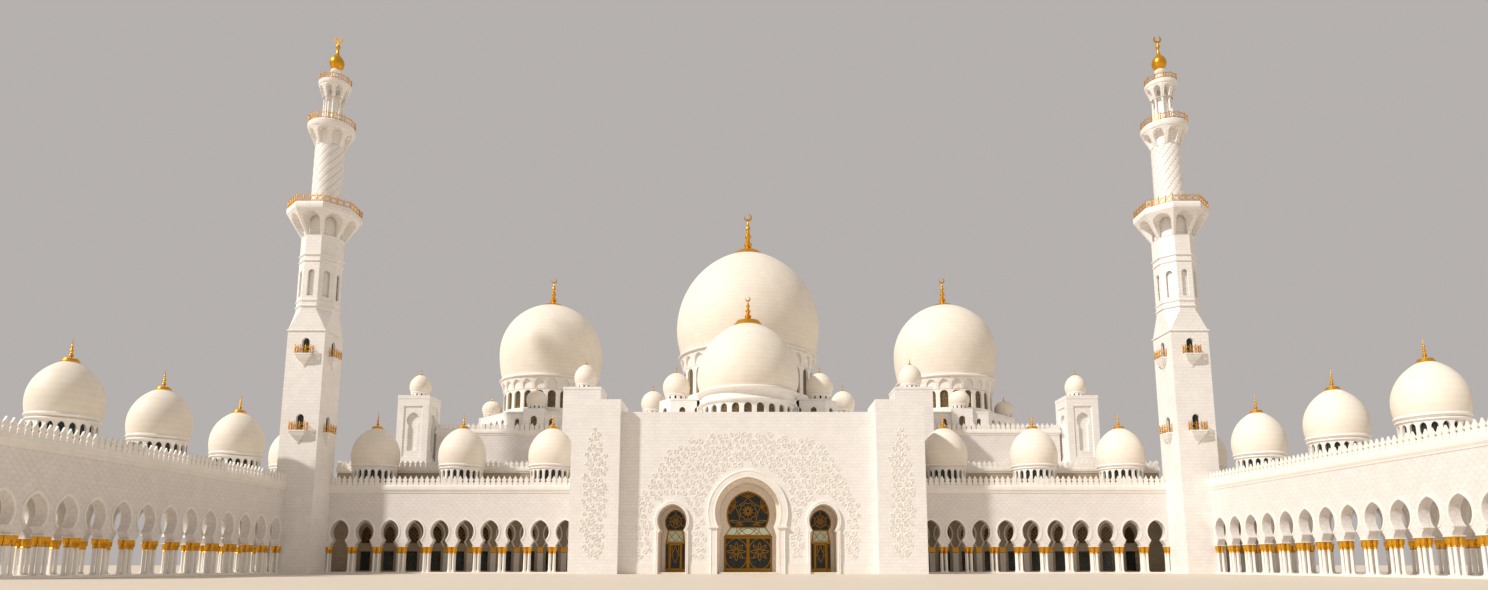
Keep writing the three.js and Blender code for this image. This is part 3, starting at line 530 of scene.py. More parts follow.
gilded_bronze, bronze_shader = finish("gilded_bronze", {"Metallic": 1.0, "Roughness": 0.34})
bronze_wear = node(gilded_bronze, "ShaderNodeTexNoise", {"Scale": 60.0, "Detail": 4})
bronze_tone = node(gilded_bronze, "ShaderNodeMix", {0: bronze_wear.outputs[0], 6: linear("#8a5c16"),
                                                    7: linear("#c08a2c")},
                   data_type="RGBA")
gilded_bronze.node_tree.links.new(bronze_tone.outputs[2], bronze_shader.inputs["Base Color"])

# Dark mosaic glass: small fused chips from near black to grey green, ground and polished flat
dark_glass, dark_shader = finish("dark_mosaic_glass", {"Roughness": 0.12, "IOR": 1.5,
                                                       "Specular IOR Level": 0.35})
CHIP = 0.12
dark_place = node(dark_glass, "ShaderNodeTexCoord").outputs["Object"]
chips = node(dark_glass, "ShaderNodeTexVoronoi", {"Vector": dark_place, "Scale": 1 / (CHIP * MODEL)})
chip_shade = node(dark_glass, "ShaderNodeSeparateColor", {0: chips.outputs["Color"]})
dark_tone = node(dark_glass, "ShaderNodeMix", {0: chip_shade.outputs[0], 6: linear("#0d1013"),
                                               7: linear("#3a413a")},
                 data_type="RGBA")
dark_glass.node_tree.links.new(dark_tone.outputs[2], dark_shader.inputs["Base Color"])

# Celadon glass: pale green cast panes, cloudy inside, with a polished face
celadon, celadon_shader = finish("celadon_cast_glass", {"Roughness": 0.15, "IOR": 1.5})
celadon_place = node(celadon, "ShaderNodeTexCoord").outputs["Object"]
cloud = node(celadon, "ShaderNodeTexNoise", {"Vector": celadon_place, "Scale": 14.0, "Detail": 3})
celadon_tone = node(celadon, "ShaderNodeMix", {0: cloud.outputs[0], 6: linear("#c8e6cb"),
                                               7: linear("#f0faec")},
                    data_type="RGBA")
celadon.node_tree.links.new(celadon_tone.outputs[2], celadon_shader.inputs["Base Color"])


def petal(u, v, angle, length, width, begin=0.0, steps=14):
    """Closed outline of a petal, from begin to length out from a centre"""
    loop = []
    for i in range(2 * steps):
        share = i / steps if i <= steps else 2 - i / steps
        away = width * math.sin(math.pi * share) * (1 if i <= steps else -1)
        out = begin + (length - begin) * share
        loop.append((u + out * math.cos(angle) - away * math.sin(angle),
                     v + out * math.sin(angle) + away * math.cos(angle)))
    return loop + loop[:1]


def curve(u0, v0, u1, v1, rise, steps=16):
    """A shallow arc between two points, rise high on its left side"""
    length = math.hypot(u1 - u0, v1 - v0)
    left_u, left_v = (v0 - v1) / length, (u1 - u0) / length
    path = []
    for i in range(steps + 1):
        share = i / steps
        lift = 4 * rise * share * (1 - share)
        path.append((u0 + (u1 - u0) * share + left_u * lift, v0 + (v1 - v0) * share + left_v * lift))
    return path


def kept_inside(path, inside):
    """The stretches of a path whose points lie inside the opening"""
    stretches, run = [], []
    for point in path:
        if inside(*point):
            run.append(point)
        else:
            stretches.append(run)
            run = []
    stretches.append(run)
    return [stretch for stretch in stretches if len(stretch) > 1]


def bar_section(half_width, half_depth):
    return [(-half_width, -half_depth), (-half_width, half_depth), (half_width, half_depth),
            (half_width, -half_depth)]


def tracery(paths, inside, width, depth):
    section = bar_section(width / 2, depth / 2)
    return [swept(on_front(stretch, DOOR_PLANE), FRONT, section)
            for path in paths for stretch in kept_inside(path, inside)]


def anywhere(u, v):
    return True


def glass_light(outline):
    return prism(outline, DOOR_PLANE - GLASS_DEPTH, DOOR_PLANE + GLASS_DEPTH, facing_front)


def glass_block(u0, u1, v0, v1, depth):
    return block(u0, u1, DOOR_PLANE - depth, DOOR_PLANE + depth, v0, v1)


def inside_arch(arch, x, margin):
    offset = set_back(arch["half"], arch["apex"] - arch["widest"])
    radius = arch["half"] + offset - margin

    def test(u, v):
        across = abs(u - x) + offset
        return v >= arch["pinch"] + margin and across ** 2 + (v - arch["widest"]) ** 2 <= radius ** 2
    return test


for name in ("main_fanlight", "left_side_screen", "right_side_screen", "main_door_left", "main_door_right",
             "left_side_door", "right_side_door"):
    dress(name, gilded_bronze)

# Main fanlight: a small flower in a scalloped ring, and five sprays of petals round it
FANLIGHT_MIDDLE = 11.7
FANLIGHT_RING = 2.6
FINE_BAR = 0.12


def around(u, v, radius, count, k):
    return polar(u, v, radius, math.pi / 2 + k * math.tau / count)


def garland(u, v, radius, count, rise):
    """A ring of arcs, bulging out where rise is below zero"""
    return [curve(*around(u, v, radius, count, k), *around(u, v, radius, count, k + 1), rise)
            for k in range(count)]


lines = [petal(0, FANLIGHT_MIDDLE, k * math.tau / 10 + math.pi / 2, 1.0, 0.1, 0.25) for k in range(10)]
lines += garland(0, FANLIGHT_MIDDLE, 1.35, 10, -0.35)
ring_arcs = garland(0, FANLIGHT_MIDDLE, FANLIGHT_RING, 5, 0.25)
for k in range(5):
    u, v = around(0, FANLIGHT_MIDDLE, FANLIGHT_RING, 5, k)
    lines.append(ring_arcs[k])
    angle = math.pi / 2 + k * math.tau / 5
    lines += [petal(u, v, angle + turn, 2.0, 0.2, 0.0) for turn in (-1.1, 0, 1.1)]
bars = tracery(lines, inside_arch(inner_arch, 0, 0.2), FINE_BAR, SCREEN_DEPTH)

# Arcs of the pale bands, each by its two ends, as shares of the half width and height, and its rise
BAND_EDGES = ((0, 1, 1, 1, 0.1), (0, 0.12, 1, 0.12, -0.12), (1, 0, 1, 1, 0))
main_crossings = ((0, 1, 0.5, 0, 0.15), (0, 0, 0.5, 1, -0.15), (0.24, 1, 0.56, 0.5, 0.08),
                  (0.24, 0, 0.56, 0.5, -0.08), (0.56, 0.5, 0.66, 1, 0.05), (0.56, 0.5, 0.66, 0, -0.05))
side_crossings = ((0, 0.9, 0.5, 0.5, 0.06), (0, 0.1, 0.5, 0.5, -0.06), (0.5, 0.5, 1, 0.9, 0.0),
                  (0.5, 0.5, 1, 0.1, 0.0))


def celadon_band(x, foot_half, head_half, foot, head, crossings):
    """The pale band over a door: its glass, and its edges with the arcs that cross it"""
    glass = glass_light([(x - foot_half, foot), (x + foot_half, foot), (x + head_half, head),
                         (x - head_half, head)])

    def place(share, level, side):
        return x + side * share * (foot_half + (head_half - foot_half) * level), foot + (head - foot) * level
    edges = []
    for side in (-1, 1):
        for share0, level0, share1, level1, rise in (*BAND_EDGES, *crossings):
            edges.append(curve(*place(share0, level0, side), *place(share1, level1, side), rise * side))
    return glass, edges


band_glass, band_lines = celadon_band(0, 4.3, 3.3, 7.1, 8.55, main_crossings)
bars += tracery(band_lines, anywhere, FINE_BAR, SCREEN_DEPTH)
made("main_fanlight_tracery", bars, gilded_bronze, "bronze_and_glass")
made("main_fanlight_glass", [glass_light(keyhole(inner_arch, 0, 8.7, inset=0.2)[1:-1])], dark_glass,
     "bronze_and_glass")
made("main_fanlight_band", [band_glass], celadon, "bronze_and_glass")

# Main leaves: an eight-petalled flower between pairs of shallow arcs
FLOWER_MIDDLE = 4.1
for name, side in sides:
    middle, near, far = side * 2.2, side * 0.275, side * 4.22
    lines = [petal(middle, FLOWER_MIDDLE, k * math.tau / 8, 1.75, 0.24, 0.3) for k in range(8)]
    for u in (near, far):
        lines.append(curve(u, 5.0, middle, 6.6, -0.3 if u > middle else 0.3))
        lines.append(curve(u, 2.9, middle + 0.35 * (u - middle), 0.95, 0.35 if u > middle else -0.35))
    low, high = min(near, far), max(near, far)
    bars = tracery(lines, lambda u, v: low <= u <= high and 0.95 <= v <= 6.55, FINE_BAR, LEAF_DEPTH)
    for y in (DOOR_PLANE - 0.17, DOOR_PLANE + 0.17):
        handle = [Vector((side * u, y, 2.9)) for u in (0.15, 0.5, 1.0, 1.3)]
        bars.append(swept(handle, FRONT, bar_section(0.05, 0.04)))
        bars.append(block(side * 0.12, side * 0.22, min(y, DOOR_PLANE), max(y, DOOR_PLANE), 2.83, 2.97))
    body = f"main_leaf_{name}"
    made(f"main_door_{name}_tracery", bars, gilded_bronze, "bronze_and_glass", body)
    made(f"main_door_{name}_glass", [glass_block(near, far, 0.96, 6.54, GLASS_DEPTH / 2)], dark_glass,
         "bronze_and_glass", body)

# Side screens and their leaves: a six-petalled flower over the band, and pointed arcs in the leaf
SIDE_BAR = 0.1
SIDE_LIGHT_MIDDLE = 9.75
for name, side in sides:
    x = side * SIDE_ARCH_X
    lines = [petal(x, SIDE_LIGHT_MIDDLE, k * math.pi / 3, 0.85, 0.13, 0.15) for k in range(6)]
    for k, arc in enumerate(garland(x, SIDE_LIGHT_MIDDLE, 1.0, 6, -0.25)):
        lines.append(arc)
        lines.append(curve(*arc[0], *around(x, SIDE_LIGHT_MIDDLE, 2.0, 6, k), 0.0))
    bars = tracery(lines, inside_arch(side_inner_arch, x, 0.14), SIDE_BAR, SCREEN_DEPTH)
    band_glass, band_lines = celadon_band(x, 1.55, 1.3, 5.85, 7.9, side_crossings)
    bars += tracery(band_lines, anywhere, SIDE_BAR, SCREEN_DEPTH)
    made(f"{name}_side_screen_tracery", bars, gilded_bronze, "bronze_and_glass")
    lights = [glass_light(keyhole(side_inner_arch, x, 8.15, inset=0.14)[1:-1])]
    for edge in (-1, 1):
        lights.append(glass_block(x + edge * 1.3, x + edge * 1.76, 0.91, 5.54, GLASS_DEPTH))
    made(f"{name}_side_screen_glass", lights, dark_glass, "bronze_and_glass")
    made(f"{name}_side_screen_band", [band_glass], celadon, "bronze_and_glass")
    low, high = x - 0.88, x + 0.88
    lines = []
    for edge in (-1, 1):
        lines.append(curve(x, 2.0, x + edge * 0.6, 5.3, -0.25 * edge))
        lines.append(curve(x + edge * 0.86, 3.2, x, 5.3, 0.1 * edge))
    bars = tracery(lines, lambda u, v: low <= u <= high and 0.95 <= v <= 5.32, SIDE_BAR, LEAF_DEPTH)
    body = f"side_leaf_{name}"
    made(f"{name}_side_door_tracery", bars, gilded_bronze, "bronze_and_glass", body)
    made(f"{name}_side_door_glass", [glass_block(low, high, 0.96, 5.3, GLASS_DEPTH / 2)], dark_glass,
         "bronze_and_glass", body)


# Columns: turned shafts of polished white marble in fours, each on a square plinth. The gilded
# capital over each one opens like a palm, and a plain abacus joins the four under the wall.
ROW_OFFSET = 0.4
FLOOR_TOP = 0.3
SPRINGING = 5.1
ARCADE_DEPTH = 1.3
BAYS = 13
OUTER_BAYS = 16
BACK_BAYS = 10
WING_END = -60
WING_INNER = 84
WING_OUTER = 95.5
HALL_FRONT = 19
BACK_FACE = 8
PYLON_SIDE = 32
VESTIBULE_SIDE = 30.1
MINARET_X = 82.4
MINARET_Y = 5.3
MINARET_HALF = 3.5
SLAB_REACH = 0.3
wing_pitch = (MINARET_Y - MINARET_HALF - WING_END) / BAYS
back_pitch = (MINARET_X - MINARET_HALF - PYLON_SIDE) / BACK_BAYS

gold, gold_shader = finish("gilded_leaf", {"Metallic": 0.85, "Roughness": 0.33})
gold_wear = node(gold, "ShaderNodeTexNoise", {"Scale": 45.0, "Detail": 5})
gold_tone = node(gold, "ShaderNodeMix", {0: gold_wear.outputs[0], 6: linear("#c98614"), 7: linear("#f7bb38")},
                 data_type="RGBA")
gold_dents = node(gold, "ShaderNodeBump", {"Strength": 0.3, "Distance": 0.02 * MODEL,
                                           "Height": gold_wear.outputs[0]})
gold.node_tree.links.new(gold_tone.outputs[2], gold_shader.inputs["Base Color"])
gold.node_tree.links.new(gold_dents.outputs[0], gold_shader.inputs["Normal"])
dress("main_finial", gold)

# Shaft marble: polished, a little warmer than the walls, with fine inlaid stems of dark stone
shaft_marble, shaft_shader = finish("inlaid_shaft_marble", {"Roughness": 0.22})
INLAY = 0.24
STEM_WINDING = 14.0
shaft_place = node(shaft_marble, "ShaderNodeTexCoord").outputs["Object"]
shaft_axes = node(shaft_marble, "ShaderNodeSeparateXYZ", {0: shaft_place})
winding = node(shaft_marble, "ShaderNodeMath", {0: shaft_axes.outputs["Z"], 1: STEM_WINDING},
               operation="MULTIPLY")
swing = node(shaft_marble, "ShaderNodeMath", {0: winding.outputs[0]}, operation="SINE")
shaft_along = node(shaft_marble, "ShaderNodeMath", {0: shaft_axes.outputs["X"], 1: shaft_axes.outputs["Y"]},
                   operation="ADD")
moved = node(shaft_marble, "ShaderNodeMath", {0: swing.outputs[0], 1: 0.04 * MODEL,
                                              2: shaft_along.outputs[0]},
             operation="MULTIPLY_ADD")
stripe = node(shaft_marble, "ShaderNodeMath", {0: moved.outputs[0], 1: INLAY * MODEL / 2},
              operation="PINGPONG")
inlay = node(shaft_marble, "ShaderNodeMapRange", {"Value": stripe.outputs[0],
                                                  "From Max": 0.16 * INLAY * MODEL, "To Min": 0.16,
                                                  "To Max": 0.0})
shaft_tone = node(shaft_marble, "ShaderNodeMix", {0: inlay.outputs[0], 6: linear("#f6f1e8"),
                                                  7: linear("#6f6f86")},
                  data_type="RGBA")
shaft_marble.node_tree.links.new(shaft_tone.outputs[2], shaft_shader.inputs["Base Color"])


def turned(profile, sides_round, x=0.0, y=0.0, turn=0.0, lobes=0.0, closed=False):
    """A turned body from (radius, height) pairs. lobes swells every second side, as palm leaves do"""
    points, faces, rings = [], [], []
    for radius, height in profile:
        count = sides_round if radius > 0 else 1
        rings.append([len(points) + i for i in range(count)])
        for i in range(count):
            angle = turn + math.tau * i / sides_round
            out = radius * (1 + (lobes if i % 2 else -lobes)) if lobes else radius
            points.append((*polar(x, y, out, angle), height))
    pairs = list(zip(rings, rings[1:])) + ([(rings[-1], rings[0])] if closed else [])
    for low, high in pairs:
        for i in range(sides_round):
            j = (i + 1) % sides_round
            face = [low[i % len(low)], low[j % len(low)], high[j % len(high)], high[i % len(high)]]
            face = list(dict.fromkeys(face))
            if len(face) > 2:
                faces.append(face)
    return points, faces


def in_plan(across, along, height):
    return across, along, height


def pillar(x, y, half, z0, z1):
    """A square block round a point of the plan"""
    return block(x - half, x + half, y - half, y + half, z0, z1)


def column(x, y):
    shaft = turned([(0, 0.28), (0.3, 0.28), (0.3, 0.42), (0.25, 0.48), (0.27, 0.56), (0.23, 0.64),
                    (0.21, 0.7), (0.2, 4.15), (0, 4.15)], 12, x, y)
    return [pillar(x, y, 0.33, 0.28, 0.4), shaft]


def capital(x, y):
    bell = [(0, 3.75), (0.22, 3.75), (0.28, 3.82), (0.22, 3.92), (0.25, 4.1), (0.33, 4.3), (0.4, 4.5),
            (0.36, 4.72), (0.4, 4.86), (0.38, 4.95), (0.3, 4.97), (0, 4.97)]
    return turned(bell, 16, x, y, lobes=0.07)


def colonnade(name, side, places, plan):
    """Shafts, capitals and abaci of a gallery, and its floor slab from the plan of the right side.
    places gives the middle of each group of columns and their offsets along X and Y"""
    shafts, capitals, abaci = [], [], []
    for x, y, offsets_x, offsets_y in places:
        for dx in offsets_x:
            for dy in offsets_y:
                shafts += column(x + dx, y + dy)
                capitals.append(capital(x + dx, y + dy))
        x0, x1 = x + min(offsets_x) - 0.38, x + max(offsets_x) + 0.38
        y0, y1 = y + min(offsets_y) - 0.38, y + max(offsets_y) + 0.38
        abaci.append(block(x0, x1, y0, y1, 4.96, SPRINGING))
    made(f"{name}_shafts", shafts, shaft_marble, "column_marble", replaces=[f"{name}_columns"])
    made(f"{name}_capitals", capitals, gold, "gold")
    slab = prism([(side * x, y) for x, y in plan], 0, FLOOR_TOP, in_plan)
    made(f"{name}_floor", [slab, *abaci], trim_marble, "column_marble")


both = (-ROW_OFFSET, ROW_OFFSET)
END_MARGIN = 0.1
OUTER_ROW = 94.66
END_ROW = 0.84
WING_MIDDLE = 89.75


def row_offsets(i, count):
    return (ROW_OFFSET + END_MARGIN,) if i == 0 else (-ROW_OFFSET,) if i == count else both


minaret_front = MINARET_Y - MINARET_HALF - SEAM
minaret_back = MINARET_Y + MINARET_HALF + SEAM
minaret_side = MINARET_X + MINARET_HALF + SEAM
wing_front = WING_INNER - SLAB_REACH
WING_PLAN = ((wing_front, WING_END), (WING_OUTER, WING_END), (WING_OUTER, HALL_FRONT),
             (WING_INNER, HALL_FRONT), (WING_INNER, minaret_back), (minaret_side, minaret_back),
             (minaret_side, minaret_front), (wing_front, minaret_front))
for name, side in sides:
    places = []
    for i in range(BAYS + 1):
        places.append((side * (WING_INNER + ARCADE_DEPTH / 2), WING_END + i * wing_pitch, both,
                       row_offsets(i, BAYS)))
    for i in range(OUTER_BAYS + 1):
        places.append((side * OUTER_ROW, WING_END + i * wing_pitch, both, row_offsets(i, OUTER_BAYS)))
    places.append((side * WING_MIDDLE, WING_END + END_ROW, both, both))
    colonnade(f"{name}_wing", side, places, WING_PLAN)

back_start = PYLON_SIDE + SEAM
back_end = MINARET_X - MINARET_HALF - SEAM
vestibule_edge = VESTIBULE_SIDE + SEAM
BACK_PLAN = ((back_start, BACK_FACE - SLAB_REACH), (back_end, BACK_FACE - SLAB_REACH),
             (back_end, minaret_back), (WING_INNER - SEAM, minaret_back),
             (WING_INNER - SEAM, HALL_FRONT - SEAM), (vestibule_edge, HALL_FRONT - SEAM),
             (vestibule_edge, PORTAL_BACK + SEAM), (back_start, PORTAL_BACK + SEAM))
for name, side in sides:
    places = []
    for i in range(BACK_BAYS + 1):
        offsets = tuple(side * offset for offset in row_offsets(i, BACK_BAYS))
        places.append((side * (PYLON_SIDE + i * back_pitch), BACK_FACE + ARCADE_DEPTH / 2, offsets, both))
    colonnade(f"{name}_arcade", side, places, BACK_PLAN)


# Arcade walls: concrete arches clad in marble that is carved with a fine diamond net. A narrow
# plain band stands a little proud round each arch.
ARCADE_TOP = 15.0
BAY_STEPS = 9
bay_arch = dict(half=1.72, widest=7.76, apex=10, pinch=6.15, flare=5.1, jamb=1.74)
bay_band = dict(half=1.98, widest=7.76, apex=10.36, pinch=6.15, flare=5.1, jamb=2.0)


def facing_side(across, up, depth):
    return depth, across, up


def relocated(shapes, change):
    """Copies of shapes with each of their points put through change"""
    return [([change(*point) for point in points], faces) for points, faces in shapes]


def arcade_outline(start, end, count, pitch, top):
    """Outline of a carried wall: it rises into an arch over each bay, and past the last bay it
    comes down to the floor"""
    outline = [(start, SPRINGING)]
    for i in range(count):
        outline += keyhole(bay_arch, start + (i + 0.5) * pitch, SPRINGING, BAY_STEPS)
    last = start + count * pitch
    if end - last > 0.1:
        outline += [(last, SPRINGING), (last, FLOOR_TOP), (end, FLOOR_TOP)]
    else:
        outline.append((end, SPRINGING))
    return outline + [(end, top), (start, top)]


def arch_bands(start, count, pitch, near, far, place):
    bands = []
    for i in range(count):
        x = start + (i + 0.5) * pitch
        loop = keyhole(bay_band, x, 6.15, BAY_STEPS)[1:-1] + keyhole(bay_arch, x, 6.15, BAY_STEPS)[-2:0:-1]
        bands.append(prism(loop, near, far, place))
    return bands


PROUD = 0.1
RECESS = 0.25
WALL_START = WING_END + RECESS
for name, side in sides:
    face = side * WING_INNER
    depth = side * (WING_INNER + ARCADE_DEPTH)
    inner_pitch = (minaret_front - WALL_START) / BAYS
    wall = prism(arcade_outline(WALL_START, minaret_front, BAYS, inner_pitch, ARCADE_TOP), face, depth,
                 facing_side)
    made(f"{name}_wing_inner_arches", [wall], carved_marble, replaces=[f"{name}_wing_inner_wall"])
    bands = arch_bands(WALL_START, BAYS, inner_pitch, face - side * PROUD, face, facing_side)
    bands += arch_bands(WALL_START, BAYS, inner_pitch, depth, depth + side * PROUD, facing_side)
    outer_face = side * (WING_OUTER - RECESS)
    outer_depth = side * (WING_OUTER - ARCADE_DEPTH)
    outer = [prism(arcade_outline(WALL_START, HALL_FRONT, OUTER_BAYS, wing_pitch, ARCADE_TOP), outer_face,
                   outer_depth, facing_side)]
    bands += arch_bands(WALL_START, OUTER_BAYS, wing_pitch, outer_face, outer_face + side * PROUD,
                        facing_side)
    bands += arch_bands(WALL_START, OUTER_BAYS, wing_pitch, outer_depth, outer_depth - side * PROUD,
                        facing_side)
    end_start, end_stop = WING_INNER + ARCADE_DEPTH, WING_OUTER - ARCADE_DEPTH
    end_pitch = (end_stop - end_start) / 2
    end_wall = [(side * u, v) for u, v in arcade_outline(end_start, end_stop, 2, end_pitch, ARCADE_TOP)]
    outer.append(prism(end_wall, WALL_START, WING_END + ARCADE_DEPTH, facing_front))
    outer.append(block(side * WING_INNER, side * (WING_OUTER - ARCADE_DEPTH), HALL_FRONT - ARCADE_DEPTH,
                       HALL_FRONT, FLOOR_TOP, ARCADE_TOP))
    made(f"{name}_wing_outer_arches", outer, carved_marble, replaces=[f"{name}_wing_outer_wall"])
    end_bands = arch_bands(end_start, 2, end_pitch, WALL_START - PROUD, WALL_START, facing_front)
    bands += relocated(end_bands, lambda x, y, z: (side * x, y, z))
    made(f"{name}_wing_arch_bands", bands, trim_marble)
    outline = arcade_outline(back_start, back_end, BACK_BAYS, back_pitch, ARCADE_TOP)
    inside_face = BACK_FACE + ARCADE_DEPTH
    wall = prism([(side * u, v) for u, v in outline], BACK_FACE, inside_face, facing_front)
    made(f"{name}_arcade_arches", [wall], carved_marble, replaces=[f"{name}_arcade_wall"])
    bands = []
    for near, far in ((BACK_FACE - PROUD, BACK_FACE), (inside_face, inside_face + PROUD)):
        row = arch_bands(back_start, BACK_BAYS, back_pitch, near, far, facing_front)
        bands += relocated(row, lambda x, y, z: (side * x, y, z))
    made(f"{name}_arcade_arch_bands", bands, trim_marble)


# Roofs of the arcades and wings: a slab on the arcade walls, edged by a moulded cornice. On it
# stands a screen of pointed merlons, cut from slabs of marble, with narrow slots between them.
ROOF_FOOT = ARCADE_TOP + SEAM
ROOF_DECK = 16.0
CORNICE_TOP = 16.5
MERLON_TIP = 18.3
EAVES = 0.3
MERLON_SPACING = 1.05
MERLON_DEPTH = 0.22
MERLON = ((0.44, 0.0), (0.44, 0.3), (0.3, 0.36), (0.3, 0.46), (0.42, 0.52), (0.42, 0.62), (0.24, 0.72),
          (0.0, 1.0))


def mirrored(path, side):
    """A plan drawn for the right side, kept or turned over for the left with its inside inside"""
    return list(path) if side > 0 else [(-x, y) for x, y in reversed(path)]


def right_of(before, after):
    length = math.dist(before, after)
    return (after[1] - before[1]) / length, (before[0] - after[0]) / length


def offset_path(path, out, closed=False):
    """The path moved out to the right of its travel, with mitred corners"""
    count = len(path)
    moved_path = []
    for i, (x, y) in enumerate(path):
        normals = []
        if closed or i:
            normals.append(right_of(path[i - 1], path[i]))
        if closed or i < count - 1:
            normals.append(right_of(path[i], path[(i + 1) % count]))
        (a, b), (c, d) = normals[0], normals[-1]
        scale = out / (1 + a * c + b * d)
        moved_path.append((x + (a + c) * scale, y + (b + d) * scale))
    return moved_path


def moulding(path, profile, closed=False):
    """A level moulding along a plan path. profile is a closed loop of (out, height) pairs"""
    rails = [offset_path(path, out, closed) for out, _ in profile]
    points = [(*rail[i], height) for i in range(len(path)) for rail, (_, height) in zip(rails, profile)]
    return skinned(points, len(profile), closed)


def merlons(path, foot, tip):
    """A row of pointed merlons along a plan path, one slab each"""
    height = tip - foot
    outline = [(a * MERLON_SPACING, b) for a, b in MERLON]
    outline = outline + [(-a, b) for a, b in outline[-2::-1]]
    triangles = [tuple(t) for t in tessellate_polygon([[Vector((u, v, 0)) for u, v in outline]])]
    count = len(outline)
    faces = triangles + [tuple(count + i for i in reversed(t)) for t in triangles]
    faces += [(i, (i + 1) % count, count + (i + 1) % count, count + i) for i in range(count)]
    shapes = []
    for (x0, y0), (x1, y1) in zip(path, path[1:]):
        length = math.hypot(x1 - x0, y1 - y0)
        along_x, along_y = (x1 - x0) / length, (y1 - y0) / length
        number = max(1, round(length / MERLON_SPACING))
        stretch = length / number / MERLON_SPACING
        for i in range(number):
            middle = (i + 0.5) * length / number
            points = []
            for depth in (0, MERLON_DEPTH):
                for u, v in outline:
                    run = middle + u * stretch
                    points.append((x0 + along_x * run - along_y * depth, y0 + along_y * run + along_x * depth,
                                   foot + v * height))
            shapes.append((points, faces))
    return shapes


def cornice(foot, top, out):
    """Section of a cornice: a small step, a hollow and a broad flat face with a rounded edge"""
    rise = top - foot
    return [(-0.6, foot), (0, foot), (out * 0.35, foot + rise * 0.05), (out * 0.35, foot + rise * 0.2),
            (out * 0.6, foot + rise * 0.28), (out * 0.95, foot + rise * 0.4), (out, foot + rise * 0.48),
            (out, foot + rise * 0.92), (out * 0.8, top), (-0.6, top)]


def crested(edge, foot, top, out, tip):
    """The cornice along a roof's edge and the merlons on it"""
    return [moulding(edge, cornice(foot, top, out)), *merlons(offset_path(edge, 0.1), top - 0.02, tip)]


WING_EDGE = ((wing_front + EAVES, minaret_front), (wing_front + EAVES, WING_END + EAVES),
             (WING_OUTER - EAVES, WING_END + EAVES), (WING_OUTER - EAVES, HALL_FRONT - EAVES),
             (WING_INNER, HALL_FRONT - EAVES))
BACK_EDGE = ((back_start, BACK_FACE), (back_end, BACK_FACE))
for name, side in sides:
    for part, plan, inset, edge in (("wing", WING_PLAN, 0.3, WING_EDGE),
                                    ("arcade", BACK_PLAN, 0.35, BACK_EDGE)):
        deck = prism(offset_path(mirrored(plan, side), -inset, True), ROOF_FOOT, ROOF_DECK, in_plan)
        roof = [deck, *crested(mirrored(edge, side), ROOF_FOOT - 0.01, CORNICE_TOP, EAVES, MERLON_TIP)]
        made(f"{name}_{part}_cornice_and_merlons", roof, trim_marble, replaces=[f"{name}_{part}_roof"])


# Domes: double shells of concrete under level courses of honed marble. Each one rises from a
# drum of windows in marble reveals. A ring of shallow arches, or on the front dome a moulding,
# leans out from the drum to the collar.
DOME_SIDES = 96
DRUM_BAYS = 24

# Leaded lattice: small dark panes that hold warm glints from the gilded bars between them
lattice, lattice_shader = finish("leaded_lattice_glass", {"Roughness": 0.2, "IOR": 1.5})
PANE = 0.32
lattice_place = node(lattice, "ShaderNodeTexCoord").outputs["Object"]
lattice_cells = node(lattice, "ShaderNodeTexVoronoi", {"Vector": lattice_place, "Scale": 1 / (PANE * MODEL)},
                     feature="DISTANCE_TO_EDGE")
lead = node(lattice, "ShaderNodeMapRange", {"Value": lattice_cells.outputs["Distance"], "From Min": 0.05,
                                            "From Max": 0.12})
lattice_tone = node(lattice, "ShaderNodeMix", {0: lead.outputs[0], 6: linear("#8f6f35"),
                                               7: linear("#2c3331")},
                    data_type="RGBA")
lattice.node_tree.links.new(lattice_tone.outputs[2], lattice_shader.inputs["Base Color"])


def window(x, half, sill, spring, apex, steps=5):
    """Outline of a window with a pointed head"""
    offset = set_back(half, apex - spring)
    radius = half + offset
    end = math.acos(offset / radius)
    right = [(half, sill)]
    right += [polar(-offset, spring, radius, end * i / steps) for i in range(steps)]
    return [(x - u, v) for u, v in right] + [(x, apex)] + [(x + u, v) for u, v in reversed(right)]


def window_ring(x, y, inner, low, high, foot, top, bays, opening, turn=0.0):
    """A round wall with a window in each bay: low and high are its radius at its foot and top"""
    half_bay = math.pi * low / bays
    edge = [(-half_bay + half_bay * i / 2, foot) for i in range(5)]
    edge += [(half_bay - half_bay * i / 2, top) for i in range(5)]
    shapes = []
    for bay in range(bays):
        middle = turn + bay * math.tau / bays

        def bent(u, v, depth):
            radius = inner if depth else low + (high - low) * (v - foot) / (top - foot)
            return *polar(x, y, radius, middle + u / low), v
        shapes.append(prism(edge, 0, 1, bent, [opening]))
    return shapes


def dome_profile(collar, spring, widest, widest_at, crown, steps=30):
    """Section of a dome: it swells from its collar to its widest, then draws in to a soft point"""
    below = math.acos(collar / widest)
    depth = (widest_at - spring) / math.sin(below)
    rise = crown - widest_at
    offset = max(0, set_back(widest, rise))
    radius = widest + offset
    stop = math.acos(offset / radius)
    height = rise / (radius * math.sin(stop))
    section = [(widest * math.cos(below * (1 - i / 8)), widest_at - depth * math.sin(below * (1 - i / 8)))
               for i in range(8)]
    section += [(radius * math.cos(stop * i / steps) - offset,
                 widest_at + radius * math.sin(stop * i / steps) * height)
                for i in range(steps)]
    return section + [(0, crown)]


